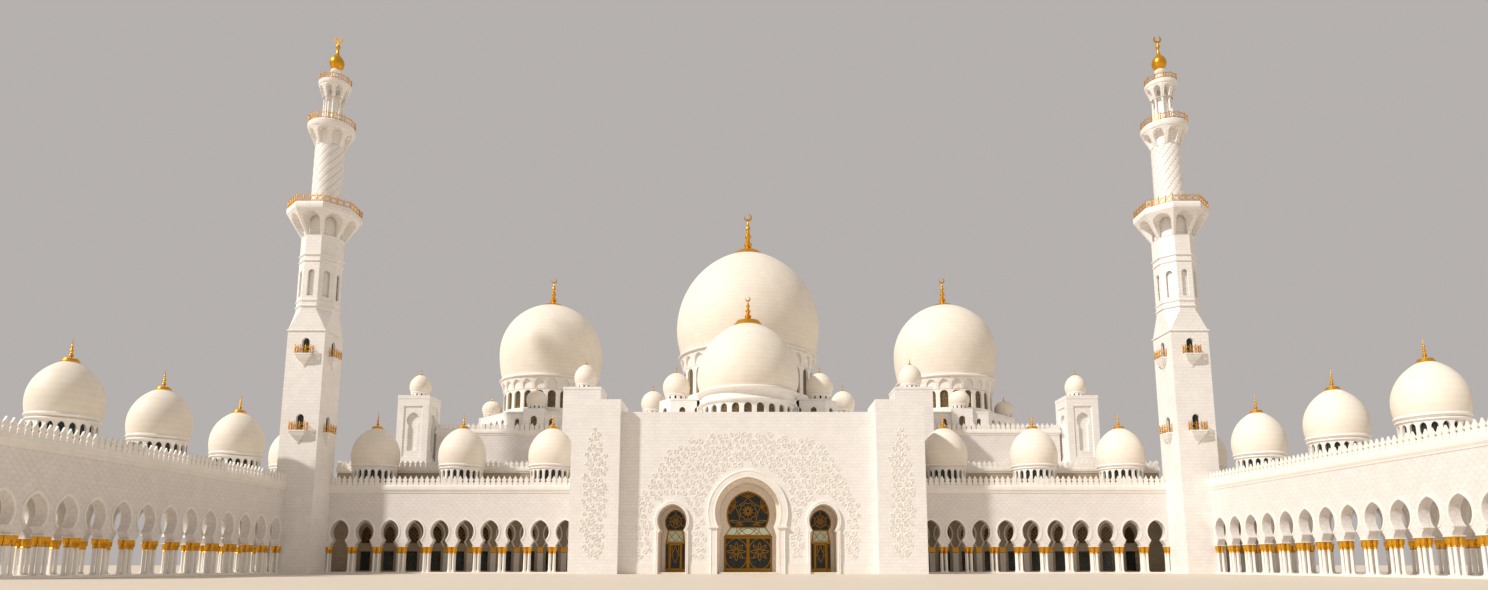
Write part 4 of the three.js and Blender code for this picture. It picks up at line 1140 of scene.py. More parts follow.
STEM_PROFILE = ((0.5, 0.0), (0.42, 0.06), (0.8, 0.1), (1.0, 0.15), (0.82, 0.2), (0.4, 0.24), (0.52, 0.27),
                (0.4, 0.3), (0.66, 0.34), (0.76, 0.38), (0.6, 0.43), (0.32, 0.47), (0.4, 0.5), (0.3, 0.53),
                (0.5, 0.57), (0.54, 0.6), (0.4, 0.64), (0.24, 0.68), (0.3, 0.71), (0.18, 0.75))


CRESCENT_OPENING = math.radians(25.3)
CRESCENT_MOUTH = math.radians(35.3)
CRESCENT_TURN = math.radians(115)


def finial(x, y, shell, tip, disc, ball, crescent=True):
    """A gilded finial: a hat that sits on the crown, a stem of balls, and a crescent or a plain
    point at its tip"""
    crown = shell[-1][1]
    edge = min(height for radius, height in shell if radius <= disc * 1.25 and height > crown - disc)
    rise = tip - crown
    hat = 0.22 * disc
    section = [(0, edge - 0.1), (disc * 1.25, edge - 0.1), (disc * 1.27, edge + 0.04 * disc),
               (disc, crown + 0.1 * disc), (disc * 0.62, crown + 0.7 * hat), (disc * 0.36, crown + hat)]
    stem_foot = crown + hat
    section += [(radius * ball, stem_foot + height * (tip - stem_foot)) for radius, height in STEM_PROFILE]
    section += [(0.14 * ball, tip - 0.2 * rise if crescent else tip - 0.05 * rise),
                (0, tip - 0.17 * rise if crescent else tip)]
    shapes = [turned(section, 24, x, y)]
    if crescent:
        outer = rise * 0.095
        inner = 0.74 * outer
        middle = tip - outer
        away = 0.3 * outer
        loop = []
        for i in range(25):
            angle = CRESCENT_TURN + CRESCENT_OPENING + i * (math.tau - 2 * CRESCENT_OPENING) / 24
            loop.append(polar(0, middle, outer, angle))
        for i in range(1, 24):
            angle = CRESCENT_TURN - CRESCENT_MOUTH - i * (math.tau - 2 * CRESCENT_MOUTH) / 24
            loop.append(polar(*polar(0, middle, away, CRESCENT_TURN), inner, angle))
        thick = ball * 0.16
        shapes.append(prism([(x + u, v) for u, v in loop], y - thick, y + thick, facing_front))
    return shapes


def lip(radius, foot, top, out):
    """A rounded collar under a dome"""
    rise = top - foot
    return [(radius - 0.6, foot), (radius, foot), (radius + out * 0.6, foot + rise * 0.3),
            (radius + out, foot + rise * 0.5), (radius + out, foot + rise * 0.75), (radius + out * 0.7, top),
            (radius - 0.6, top)]


DOMES_Y = 42.5
FLANK_X = 46
FRONT_DOME_Y = 15.5
main_dome = dict(radius=15, wall=1, foot=33.0, shelf=45.8, collar=15.3, spring=49.1, widest=16.65, at=56.0,
                 crown=75.1, tip=85, half=1.3, sill=39.2, arch=43.9, apex=45.3, lip=1.0, disc=2.75, ball=1.0)
flank_dome = dict(radius=10.4, wall=0.8, foot=34.3, shelf=40.4, collar=10.75, spring=43.3, widest=11.7,
                  at=50.0, crown=62.1, tip=68.9, half=0.9, sill=36.0, arch=39.0, apex=39.9, lip=0.75,
                  disc=2.0, ball=0.76)
front_dome = dict(radius=9.3, wall=0.7, foot=29.5, shelf=32.8, collar=9.5, spring=35.3, widest=10.2, at=38.4,
                  crown=50.3, tip=55.8, half=0.75, sill=30.0, arch=31.4, apex=32.2, lip=0.75, disc=2.35,
                  ball=0.72)
great_domes = (("main", 0, DOMES_Y, main_dome), ("left", -FLANK_X, DOMES_Y, flank_dome),
               ("right", FLANK_X, DOMES_Y, flank_dome), ("front", 0, FRONT_DOME_Y, front_dome))
for name, x, y, d in great_domes:
    turn = math.pi / 2
    lean = d["shelf"] - 0.25
    opening = window(0, d["half"], d["sill"], d["arch"], d["apex"])
    ring = window_ring(x, y, d["radius"] - d["wall"], d["radius"], d["radius"], d["foot"], lean, DRUM_BAYS,
                       opening, turn)
    if name == "front":
        ring.append(turned([(8.9, 32.5), (9.3, 32.5), (9.35, 32.6), (9.85, 32.75), (9.9, 32.95), (9.8, 33.1),
                            (9.45, 33.3), (9.3, 33.7), (9.35, 34.3), (9.6, 34.7),
                            (8.9, 34.7)], DOME_SIDES, x, y,
                           closed=True))
    else:
        half_bay = math.pi * d["radius"] / DRUM_BAYS
        arch_top = d["spring"] - 0.9
        head = window(0, half_bay * 0.78, lean + 0.02, arch_top - half_bay, arch_top)
        ring += window_ring(x, y, d["radius"] - 0.3, d["radius"] + 0.05, d["collar"] + d["lip"] * 0.5, lean,
                            d["spring"] - 0.6, DRUM_BAYS, head, turn)
        ring.append(turned([(d["radius"] - 0.3, lean), (d["radius"] - 0.05, lean),
                            (d["radius"] + 0.1, arch_top),
                            (d["radius"] - 0.3, arch_top)], DOME_SIDES, x, y, closed=True))
    if name == "main":
        ring.append(turned([(14.2, 33.0), (16.4, 33.0), (16.4, 35.6), (16.1, 35.9), (15.2, 38.4),
                            (14.2, 38.4)], DOME_SIDES,
                           x, y, closed=True))
    made(f"{name}_drum_of_windows", ring, trim_marble, replaces=[f"{name}_drum"])
    glass = rectangle(d["radius"] - d["wall"] * 0.55, d["radius"] - d["wall"] * 0.5, d["sill"] - 0.1,
                      d["apex"] + 0.1)
    made(f"{name}_drum_glass", [turned(glass, DOME_SIDES, x, y, closed=True)], lattice, "bronze_and_glass")
    collar = lip(d["collar"], d["spring"] - 0.75, d["spring"] + 0.15, d["lip"])
    made(f"{name}_dome_collar", [turned(collar, DOME_SIDES, x, y, closed=True)], trim_marble)
    shell = dome_profile(d["collar"], d["spring"], d["widest"], d["at"], d["crown"])
    inside = [(max(0, radius - 0.6), height - 0.3) for radius, height in reversed(shell[:-1])]
    skin = turned(shell + [(0, d["crown"] - 0.6)] + inside, DOME_SIDES, x, y, closed=True)
    made(f"{name}_dome_shell", [skin], dome_marble, replaces=[f"{name}_dome"])
    made(f"{name}_dome_finial", finial(x, y, shell, d["tip"], d["disc"], d["ball"]), gold, "gold",
         replaces=["main_finial"] if name == "main" else ())


def small_dome(x, y, radius):
    """A roof dome: its drum of narrow windows, its double collar, its shell and its finial"""
    opening = window(0, radius * 0.088, 17.3, 19.2, 19.75, 4)
    stone = window_ring(x, y, radius * 0.78, radius * 0.88, radius * 0.9, ROOF_DECK - 0.05, 20.0, 20, opening)
    for foot, top, out in ((19.85, 20.25, 0.2), (20.3, 20.9, 0.3)):
        stone.append(turned(lip(radius * 0.91, foot, top, out), 48, x, y, closed=True))
    glass = turned(rectangle(radius * 0.79, radius * 0.82, 17.0, 19.9), 40, x, y, closed=True)
    shell = dome_profile(radius * 0.91, 20.3, radius, 22.7, 28.5, 16)
    top = finial(x, y, shell, 31.4, radius * 0.2, 0.3, False)
    return stone, glass, turned([(0, 20.3)] + shell, 48, x, y), top


for name, side in sides:
    for part, places in (("wing", [(side * WING_MIDDLE, y, 4.3) for y in (-43, -24.6, -4.5, 14.4)]),
                         ("arcade", [(side * x, 13.6, 4.5) for x in (38.5, 56.1, 73.1)])):
        stone, panes, shells, gilt = [], [], [], []
        for x, y, radius in places:
            ring, glass, shell, top = small_dome(x, y, radius)
            stone += ring
            panes.append(glass)
            shells.append(shell)
            gilt += top
        made(f"{name}_{part}_dome_drums", stone, trim_marble)
        made(f"{name}_{part}_dome_glass", panes, dark_glass, "bronze_and_glass")
        made(f"{name}_{part}_dome_shells", shells, dome_marble)
        made(f"{name}_{part}_dome_finials", gilt, gold, "gold")


# Vestibule and hall: concrete walls clad in honed slabs. Tall windows of leaded glass have raised
# marble bands round them, and the flat roofs of the hall end in a cornice and merlons.
HALL_HALF = 83
HALL_BACK = 59.75
HALL_WALL = 1.0
LOWER_TOP = 20 + SEAM
UPPER_HALF = 66.5
UPPER_FRONT = 27.5
UPPER_FOOT = 20.8
UPPER_TOP = 29 + SEAM
UPPER_DECK = 29.8
BAND = 0.35
BAR_SPACING = 0.8
BAR_HALF = 0.035


def on_wall(before, after, mitre=0.0):
    """Place function of a wall that runs between two plan points with its outside to the right.
    mitre is how far each end draws in for every metre of depth, so that walls meet at a corner"""
    length = math.dist(before, after)
    along_x, along_y = (after[0] - before[0]) / length, (after[1] - before[1]) / length
    out_x, out_y = along_y, -along_x

    def place(u, v, depth):
        run = u + mitre * depth * (1 - 2 * u / length)
        return before[0] + along_x * run - out_x * depth, before[1] + along_y * run - out_y * depth, v
    return place, length


def stretch_of_wall(before, after, foot, top, depth, openings=(), mitre=1.0):
    place, length = on_wall(before, after, mitre)
    return prism(rectangle(0, length, foot, top), 0, depth, place, openings)


def raised_band(before, after, inner, outer, proud):
    """A raised band round an opening, open at its foot"""
    place, _ = on_wall(before, after)
    return prism(list(outer) + list(inner)[::-1], -proud, 0.02, place)


def pane(before, after, opening, depth):
    place, _ = on_wall(before, after)
    return prism(opening, depth, depth + 0.06, place)


def diamond_bars(before, after, half, sill, apex, x, depth):
    """Crossing bars of a leaded light, cut off at the edges of its opening"""
    place, _ = on_wall(before, after)
    bars = []
    height = apex - sill
    width = 2 * half
    count = int((width + height) / BAR_SPACING)
    for k in range(1, count + 1):
        reach_in = k * BAR_SPACING
        u0, v0 = min(reach_in, width), max(0.0, reach_in - width)
        u1, v1 = max(0.0, reach_in - height), min(reach_in, height)
        for flip in (1, -1):
            (a0, b0), (a1, b1) = [(x + flip * (u - half), sill + v) for u, v in ((u0, v0), (u1, v1))]
            length = math.hypot(a1 - a0, b1 - b0)
            if length < 0.3:
                continue
            side_u, side_v = BAR_HALF * (b0 - b1) / length, BAR_HALF * (a1 - a0) / length
            bars.append(prism([(a0 - side_u, b0 - side_v), (a1 - side_u, b1 - side_v),
                               (a1 + side_u, b1 + side_v),
                               (a0 + side_u, b0 + side_v)], depth - 0.05, depth + 0.02, place))
    return bars


hall_stone, hall_bands, hall_glass, hall_bars = [], [], [], []
hall_runs = [((HALL_HALF, HALL_FRONT), (HALL_HALF, HALL_BACK), [8 + 12.5 * i for i in range(3)]),
             ((HALL_HALF, HALL_BACK), (-HALL_HALF, HALL_BACK), [16.5 + 19 * i for i in range(8)]),
             ((-HALL_HALF, HALL_BACK), (-HALL_HALF, HALL_FRONT),
              [HALL_BACK - 27 - 12.5 * i for i in range(3)])]
half, sill, arch, apex = 1.6, 3, 9, 11.4
for start, stop, middles in hall_runs:
    openings = [window(u, half, sill, arch, apex) for u in middles]
    hall_stone.append(stretch_of_wall(start, stop, 0, LOWER_TOP, HALL_WALL, openings))
    for u, opening in zip(middles, openings):
        band = window(u, half + BAND, sill - BAND, arch, apex + BAND * 1.3)
        hall_bands.append(raised_band(start, stop, opening, band, 0.12))
        hall_glass.append(pane(start, stop, opening, 0.5))
        hall_bars += diamond_bars(start, stop, half, sill, apex, u, 0.5)
made("hall_outer_walls", hall_stone, wall_marble, replaces=["hall_lower_walls"])

# The front wall stands in the shade of the arcades, and its marble is painted brown-grey as painted
# shade. Each bay has a doorway with a dark glass screen, painted shade for the dark hall behind it,
# a pointed window over it and a flat keyhole arch on piers with gilded capitals.
DOORWAY_FOOT = 0.5
DOORWAY_TOP = 4.3
SCREEN_HALF = 1.25
PIER_PROUD = 0.15
front_stone, front_bands, front_gilt = [], [], []
for name, side in sides:
    ends = mirrored(((vestibule_edge, HALL_FRONT), (HALL_HALF, HALL_FRONT)), side)
    length = HALL_HALF - vestibule_edge
    openings = []
    for i in range(BACK_BAYS):
        from_portal = PYLON_SIDE + (i + 0.5) * back_pitch - vestibule_edge
        u = from_portal if side > 0 else length - from_portal
        doorway = rectangle(u - SCREEN_HALF, u + SCREEN_HALF, DOORWAY_FOOT, DOORWAY_TOP)
        light = window(u, SCREEN_HALF, 5.9, 7.6, 9.3)
        openings += [doorway, light]
        # The dark glass screen in each doorway is painted shade for the dark hall behind it.
        hall_glass += [pane(*ends, doorway, 0.5), pane(*ends, light, 0.5)]
        hall_bars += diamond_bars(*ends, SCREEN_HALF, 5.9, 9.3, u, 0.5)
    front_stone.append(stretch_of_wall(*ends, 0, LOWER_TOP, HALL_WALL, openings))
    for i in range(BACK_BAYS + 1):
        x = side * (PYLON_SIDE + i * back_pitch)
        front_bands.append(block(x - 0.55, x + 0.55, HALL_FRONT - PIER_PROUD, HALL_FRONT + 0.02, FLOOR_TOP,
                                 4.0))
        front_gilt.append(block(x - 0.6, x + 0.6, HALL_FRONT - 0.19, HALL_FRONT + 0.02, 4.15, SPRINGING))
        if i < BACK_BAYS:
            middle = x + side * back_pitch / 2
            loop = keyhole(bay_band, middle, 5.1, BAY_STEPS) + keyhole(bay_arch, middle, 5.1, BAY_STEPS)[::-1]
            front_bands.append(prism(loop, HALL_FRONT - PIER_PROUD, HALL_FRONT + 0.02, facing_front))
made("hall_front_wall", front_stone, shaded_marble)
made("hall_front_arches", front_bands, trim_marble)
made("hall_front_capitals", front_gilt, gold, "gold")
made("hall_window_bands", hall_bands, trim_marble)
made("hall_window_glass", hall_glass, dark_glass, "bronze_and_glass")
made("hall_window_bars", hall_bars, gilded_bronze, "bronze_and_glass")

upper = rectangle(-UPPER_HALF, UPPER_HALF, UPPER_FRONT, HALL_BACK)
made("hall_upper_block", [stretch_of_wall(upper[i], upper[(i + 1) % 4], UPPER_FOOT, UPPER_TOP, 1.2)
                          for i in range(4)],
     carved_marble, replaces=["hall_upper_walls"])
for name, side in sides:
    plan = mirrored(((vestibule_edge, HALL_FRONT), (HALL_HALF, HALL_FRONT), (HALL_HALF, HALL_BACK),
                     (65.3, HALL_BACK), (65.3, 28.7), (vestibule_edge, 28.7)), side)
    edge = mirrored(((37.9, HALL_FRONT), (HALL_HALF, HALL_FRONT), (HALL_HALF, HALL_BACK),
                     (UPPER_HALF, HALL_BACK)), side)
    roof = [prism(plan, LOWER_TOP, UPPER_FOOT, in_plan), *crested(edge, LOWER_TOP, 21.0, 0.25, 22.5)]
    made(f"{name}_lower_cornice_and_merlons", roof, trim_marble, replaces=[f"{name}_lower_roof"])


def circle(x, y, radius, steps=48):
    return [polar(x, y, radius, math.tau * i / steps) for i in range(steps)]


BASE_HALF = 23.6
wells = [circle(0, DOMES_Y, 13.6), circle(-FLANK_X, DOMES_Y, 9.2), circle(FLANK_X, DOMES_Y, 9.2)]
edge = [(BASE_HALF, UPPER_FRONT), *upper[1:], upper[0], (-BASE_HALF, UPPER_FRONT)]
roof = [prism(upper, UPPER_TOP, UPPER_DECK, in_plan, wells), *crested(edge, UPPER_TOP, 30.1, 0.25, 31.6)]
made("upper_cornice_and_merlons", roof, trim_marble, replaces=["upper_roof"])

VESTIBULE_TOP = 29.5
VESTIBULE_HALF = 28.7
vestibule_front, vestibule_back = PORTAL_BACK + SEAM, UPPER_FRONT - SEAM
side_profile = [(vestibule_front, 0), (HALL_FRONT - SEAM, 0), (HALL_FRONT - SEAM, LOWER_TOP),
                (vestibule_back, LOWER_TOP), (vestibule_back, VESTIBULE_TOP),
                (vestibule_front, VESTIBULE_TOP)]
walls = [prism(side_profile, side * VESTIBULE_HALF, side * VESTIBULE_SIDE, facing_side) for _, side in sides]
walls.append(prism(rectangle(-VESTIBULE_HALF, VESTIBULE_HALF, vestibule_front, vestibule_back), PORTAL_TOP,
                   VESTIBULE_TOP, in_plan, [circle(0, FRONT_DOME_Y, 8.4)]))
walls.append(block(-PORTAL_HALF, PORTAL_HALF, PORTAL_FACE, vestibule_front, PORTAL_TOP + SEAM, VESTIBULE_TOP))
made("vestibule_walls_and_roof", walls, wall_marble, replaces=["vestibule"])


# Bases, turrets and towers: blocks of slab-clad masonry that carry the drums and stand at their
# corners. Every turret ends in a ring of tiny windows, a rounded collar and a small dome.
def turret_top(x, y, foot, radius, crown):
    """Neck, collar and dome of a turret, with the dark glass of its neck and its gilded tip"""
    neck = foot + 0.38 * radius
    opening = window(0, radius * 0.075, foot + 0.1 * radius, foot + 0.26 * radius, foot + 0.33 * radius, 3)
    stone = window_ring(x, y, radius * 0.7, radius * 0.83, radius * 0.83, foot - 0.05, neck, 12, opening)
    stone.append(turned(lip(radius * 0.84, neck - 0.03, neck + 0.12 * radius, radius * 0.06), 36, x, y,
                        closed=True))
    glass = turned(rectangle(radius * 0.7, radius * 0.74, foot, neck), 24, x, y, closed=True)
    shell = dome_profile(radius * 0.84, neck + 0.1 * radius, radius, foot + radius * 1.05, crown, 14)
    tip = turned([(0, crown - 0.12), (radius * 0.2, crown - 0.12), (radius * 0.17, crown - 0.02),
                  (radius * 0.06, crown + 0.12), (radius * 0.08, crown + 0.3), (radius * 0.05, crown + 0.45),
                  (0, crown + 0.5 * radius)], 12,
                 x, y)
    return stone, glass, turned([(0, neck)] + shell, 40, x, y), tip


def walled(corners, foot, top, depth, openings_of):
    """Walls round a plan with its outside to the right: openings_of gives the outlines for each
    side from its length. Returns the stone and the panes"""
    stone, panes = [], []
    for i, before in enumerate(corners):
        after = corners[(i + 1) % len(corners)]
        openings = openings_of(math.dist(before, after))
        stone.append(stretch_of_wall(before, after, foot, top, depth, openings,
                                     math.tan(math.pi / len(corners))))
        panes += [pane(before, after, opening, depth * 0.7) for opening in openings]
    return stone, panes


def square(x, y, half):
    return rectangle(x - half, x + half, y - half, y + half)


def spaced_windows(pitch, half, sill, arch, apex):
    def evenly(length):
        number = max(1, int(length / pitch))
        start = length / 2 - (number - 1) * pitch / 2
        return [window(start + i * pitch, half, sill, arch, apex) for i in range(number)]
    return evenly


tops, dark_panes, caps, tips = [], [], [], []


def add_top(x, y, foot, radius, crown):
    stone, glass, shell, tip = turret_top(x, y, foot, radius, crown)
    tops.extend(stone)
    dark_panes.append(glass)
    caps.append(shell)
    tips.append(tip)


base_plan = rectangle(-BASE_HALF, BASE_HALF, 25.4, 59.2)
base_stone, base_glass = walled(base_plan, UPPER_DECK, 32.6, 0.6, spaced_windows(4.4, 0.7, 30.5, 31.5, 32.1))
base_stone.append(prism(base_plan, 32.55, 33.0, in_plan, [wells[0]]))
for x in (-20.5, 20.5):
    for y in (29, 56):
        stone, glass = walled(square(x, y, 3.12), UPPER_DECK, 33.3, 0.5,
                              spaced_windows(9, 0.7, 30.5, 31.8, 32.5))
        base_stone += stone + [pillar(x, y, 3, 32.9, 33.25)]
        base_glass += glass
        add_top(x, y, 33.3, 2.6, 38.9)
made("main_base_walls", base_stone, wall_marble, replaces=["main_base"])
eighth = math.pi / 8
flank_corner = 14 / math.cos(eighth)
TURRET_TOP = 34.9
for name, side in sides:
    x = side * FLANK_X
    corners = [polar(x, DOMES_Y, flank_corner, eighth + i * math.pi / 4) for i in range(8)]
    stone, glass = walled(corners, UPPER_DECK, 33.9, 0.6, spaced_windows(2.5, 0.5, 31.0, 32.2, 32.8))
    stone.append(turned(rectangle(9.9, flank_corner, 33.85, 34.3), 8, x, DOMES_Y, eighth, closed=True))
    base_glass += glass
    for i in range(4):
        turret_x = x + 13.4 * math.cos(i * math.pi / 2)
        turret_y = DOMES_Y + 12.45 * math.sin(i * math.pi / 2)
        walls, glass = walled(square(turret_x, turret_y, 2.25), UPPER_DECK, TURRET_TOP, 0.5,
                              spaced_windows(9, 0.75, 31.0, 32.5, 33.3))
        stone += walls + [pillar(turret_x, turret_y, 2.1, 34.5, TURRET_TOP)]
        base_glass += glass
        add_top(turret_x, turret_y, TURRET_TOP, 2.2, 39.2)
    made(f"{name}_base_walls", stone, wall_marble, replaces=[f"{name}_base"])
made("base_window_glass", base_glass, lattice, "bronze_and_glass")

# The blocks of the front turrets reach in behind the front dome and have one corner cut off
CHAMFER = 2.5
front_turrets, front_glass = [], []
for _, side in sides:
    plan = [(18.2, 17.3 + CHAMFER), (18.2 - CHAMFER, 17.3), (9.9, 17.3), (9.9, 23.7), (18.2, 23.7)]
    corners = [(side * x, y) for x, y in (plan[::-1] if side > 0 else plan)]
    for i, before in enumerate(corners):
        after = corners[(i + 1) % len(corners)]
        length = math.dist(before, after)
        if abs(before[0] - after[0]) < 0.01 and abs(before[0]) < 10:
            openings = []
        elif length < 4:
            openings = [window(length / 2, 0.6, 31.3, 32.6, 33.3)]
        else:
            first = 2.4 if before[0] * side > after[0] * side else length - 2.4
            step = 3.1 if first < length / 2 else -3.1
            openings = [window(first + step * k, 0.6, 31.3, 32.6, 33.3) for k in range(2)]
        place, _ = on_wall(before, after)
        front_turrets.append(prism(rectangle(0, length, 29.3, 34.6), 0, 0.45, place, openings))
        front_glass += [pane(before, after, opening, 0.3) for opening in openings]
    front_turrets.append(prism(corners, 34.55, TURRET_TOP, in_plan))
    add_top(side * 14.8, 20.5, TURRET_TOP, 2.8, 41)
made("front_turret_blocks", front_turrets, wall_marble)
made("front_turret_glass", front_glass, lattice, "bronze_and_glass")

TOWER_FOOT = UPPER_FOOT + SEAM
niche = dict(half=1.35, widest=31.6, apex=33.3, pinch=30.5, flare=29.6, jamb=1.0)
for name, side in sides:
    x, y, half = side * 34.05, 22.95, 3.85
    stair = [pillar(x, y, half, TOWER_FOOT, 37.3),
             moulding(square(x, y, half), rectangle(-0.5, 0.06, 37.2, 37.8), True),
             pillar(x, y, half - 0.4, 37.2, 37.7)]
    made(f"{name}_stair_tower_block", stair, wall_marble, replaces=[f"{name}_stair_tower"])
    add_top(x, y, 37.8, 2.4, 43.4)
    x, y, half = side * 70.2, 26.8, 3.3
    corners = square(x, y, half)
    stone = [pillar(x, y, half - 0.75, TOWER_FOOT, 36.8),
             moulding(corners, rectangle(-0.5, 0.05, 36.2, 36.9), True),
             pillar(x, y, half - 0.3, 36.3, 36.85)]
    for i, before in enumerate(corners):
        after = corners[(i + 1) % 4]
        panel = rectangle(half - 1.95, half + 1.95, 23.9, 34.6)
        stone.append(stretch_of_wall(before, after, TOWER_FOOT, 36.8, 0.22, [panel]))
        place, _ = on_wall(before, after)
        stone.append(prism(panel, 0.2, 0.8, place, [keyhole(niche, half, 25.2, 10)]))
    made(f"{name}_roof_tower_block", stone, wall_marble, replaces=[f"{name}_roof_tower"])
    add_top(x, y, 36.9, 2.2, 42.0)
made("turret_necks", tops, trim_marble)
made("turret_neck_glass", dark_panes, dark_glass, "bronze_and_glass")
made("turret_domes", caps, dome_marble)
made("turret_tips", tips, gold, "gold")


# Minarets: a square tower of slabs with gilt-railed balconies, an octagon that flares into a
# gallery over deep coves, a round shaft with winding grooves, and a pillared lantern.
BALCONY_FLOORS = (26, 40.4)
TOWER_TOP = 45
BROACH_TOP = 49
FLARE_FOOT = 63.6
GALLERY_HALF = 6.1
SPIRAL_STARTS = 12
SPIRAL_RISE = 21.5
SHAFT_RADIUS = 2.65


def faceted(sides_round, low, high, foot, top, inner, openings=(), rounded=False):
    """One band of a tower, flat-sided or round: low and high are its apothem at foot and top.
    Openings are outlines in half widths of a side, and inner is the depth they are cut to"""
    half_turn = math.pi / sides_round
    steps = 8 if rounded else 1
    edge = [(-1 + 2 * i / steps, foot) for i in range(steps + 1)]
    edge += [(1 - 2 * i / steps, top) for i in range(steps + 1)]
    shapes = []
    for k in range(sides_round):
        middle = -math.pi / 2 + k * 2 * half_turn

        def place(u, v, depth):
            reach_out = inner if depth else low + (high - low) * (v - foot) / (top - foot)
            if rounded:
                return *polar(0, 0, reach_out, middle + u * half_turn), v
            across = u * reach_out * math.tan(half_turn)
            return (reach_out * math.cos(middle) - across * math.sin(middle),
                    reach_out * math.sin(middle) + across * math.cos(middle), v)
        shapes.append(prism(edge, 0, 1, place, openings))
    return shapes


def ring_of(radius, sides_round):
    """Plan corners of a ring whose sides face the front, with its outside to the right"""
    reach_out = radius / math.cos(math.pi / sides_round)
    return [polar(0, 0, reach_out, -math.pi / 2 + (i + 0.5) * math.tau / sides_round)
            for i in range(sides_round)]


def railing(corners, foot, top, spacing, closed=True):
    """A gilded railing: square posts with ball tops, two rails, and a ring in every panel"""
    height = top - foot
    bars = []
    pairs = list(zip(corners, corners[1:] + corners[:1])) if closed else list(zip(corners, corners[1:]))
    for before, after in pairs:
        place, length = on_wall(before, after)
        number = max(1, round(length / spacing))
        pitch = length / number
        for low in (foot + 0.08 * height, foot + 0.72 * height):
            bars.append(prism(rectangle(0, length, low, low + 0.09), -0.04, 0.04, place))
        for i in range(number):
            x, y, _ = place(i * pitch, 0, 0)
            bars.append(turned([(0, foot), (0.09, foot), (0.09, foot + 0.8 * height),
                                (0.05, foot + 0.84 * height), (0.11, foot + 0.92 * height),
                                (0, top)], 6, x, y))
            centre_u, centre_v = (i + 0.5) * pitch, foot + 0.43 * height
            ring = min(0.3 * height, 0.36 * pitch)
            loop = [Vector(place(*polar(centre_u, centre_v, ring, k * math.tau / 10), 0)) for k in range(10)]
            bars.append(swept(loop, Vector((*right_of(before, after), 0)), bar_section(0.04, 0.03), True))
            for lean in (-1, 1):
                bars.append(prism([(centre_u - lean * ring - 0.03, centre_v),
                                   (centre_u - lean * pitch / 2, centre_v - 0.03),
                                   (centre_u - lean * pitch / 2, centre_v + 0.03)], -0.02, 0.02, place))
    if not closed:
        x, y = corners[-1]
        bars.append(turned([(0, foot), (0.09, foot), (0.09, foot + 0.8 * height),
                            (0.11, foot + 0.92 * height), (0, top)], 6, x, y))
    return bars


def square_tower():
    """The square foot of a minaret with its upper doors, and the broach that turns it octagonal"""
    corners = square(0, 0, MINARET_HALF)
    doors = [window(MINARET_HALF, 0.72, floor_height, floor_height + 2.3, floor_height + 3.1)
             for floor_height in BALCONY_FLOORS]
    stone, panes = walled(corners, 0, TOWER_TOP, 0.6, lambda length: doors)
    stone.append(pillar(0, 0, 2.95, 0, TOWER_TOP))
    stone.append(moulding(corners, [(-0.3, 44.85), (0.18, 44.85), (0.18, 45.05), (0, 45.15), (-0.3, 45.15)],
                          True))
    tan = MINARET_HALF * math.tan(eighth)
    top = [(tan, -MINARET_HALF), (MINARET_HALF, -tan), (MINARET_HALF, tan), (tan, MINARET_HALF),
           (-tan, MINARET_HALF), (-MINARET_HALF, tan), (-MINARET_HALF, -tan), (-tan, -MINARET_HALF)]
    points = [(x, y, TOWER_TOP) for x, y in corners] + [(x, y, BROACH_TOP) for x, y in top]
    faces = [(0, 1, 4, 11), (1, 5, 4), (1, 2, 6, 5), (2, 7, 6), (2, 3, 8, 7), (3, 9, 8), (3, 0, 10, 9),
             (0, 11, 10), (3, 2, 1, 0), (4, 5, 6, 7, 8, 9, 10, 11)]
    stone.append((points, faces))
    return stone, panes


def balcony(floor_height):
    """A balcony on the front face: a slab on a bracket that tapers to a point, and its railing"""
    y = -MINARET_HALF
    stone = [block(-1.5, 1.5, y - 1.0, y, floor_height - 0.25, floor_height)]
    rings = [(1.42, 0.95, floor_height - 0.25), (1.35, 0.88, floor_height - 0.6),
             (0.75, 0.5, floor_height - 1.4), (0.2, 0.16, floor_height - 2.0),
             (0.14, 0.12, floor_height - 2.4)]
    points = [(*corner, z) for half, out, z in rings
              for corner in ((-half, y), (-half, y - out), (half, y - out), (half, y))]
    stone.append(skinned(points, 4, False))
    rail = railing([(-1.42, y), (-1.42, y - 0.92), (1.42, y - 0.92), (1.42, y)], floor_height,
                   floor_height + 1.7, 0.95, False)
    return stone, rail


def cove(foot, arch, apex, half=0.72):
    rise = apex - arch
    right = [(half * 0.6, arch + rise * 0.78), (half * 0.92, arch + rise * 0.4), (half, arch), (half, foot)]
    return [(-u, v) for u, v in reversed(right)] + [(0, apex)] + right


def winding_shaft(foot, top):
    """The round shaft: each strip between two grooves swells a little and winds up to the right"""
    steps, swell = 28, ((0.0, -0.16), (0.05, 0.0), (0.5, 0.07), (0.95, 0.0))
    points, faces = [], []
    count = SPIRAL_STARTS * len(swell)
    for j in range(steps + 1):
        z = foot + (top - foot) * j / steps
        for start in range(SPIRAL_STARTS):
            for share, out in swell:
                angle = math.tau * ((start + share) / SPIRAL_STARTS + z / SPIRAL_RISE)
                points.append((*polar(0, 0, SHAFT_RADIUS + out, angle), z))
    for j in range(steps):
        for i in range(count):
            a, b = j * count + i, j * count + (i + 1) % count
            faces.append((a, b, b + count, a + count))
    return points, faces


def octagon_ring(z0, z1, out):
    rise = z1 - z0
    section = [(-0.3, z0), (0, z0), (out, z0 + rise * 0.4), (out, z0 + rise * 0.75), (0, z1), (-0.3, z1)]
    return moulding(ring_of(MINARET_HALF, 8), section, True)


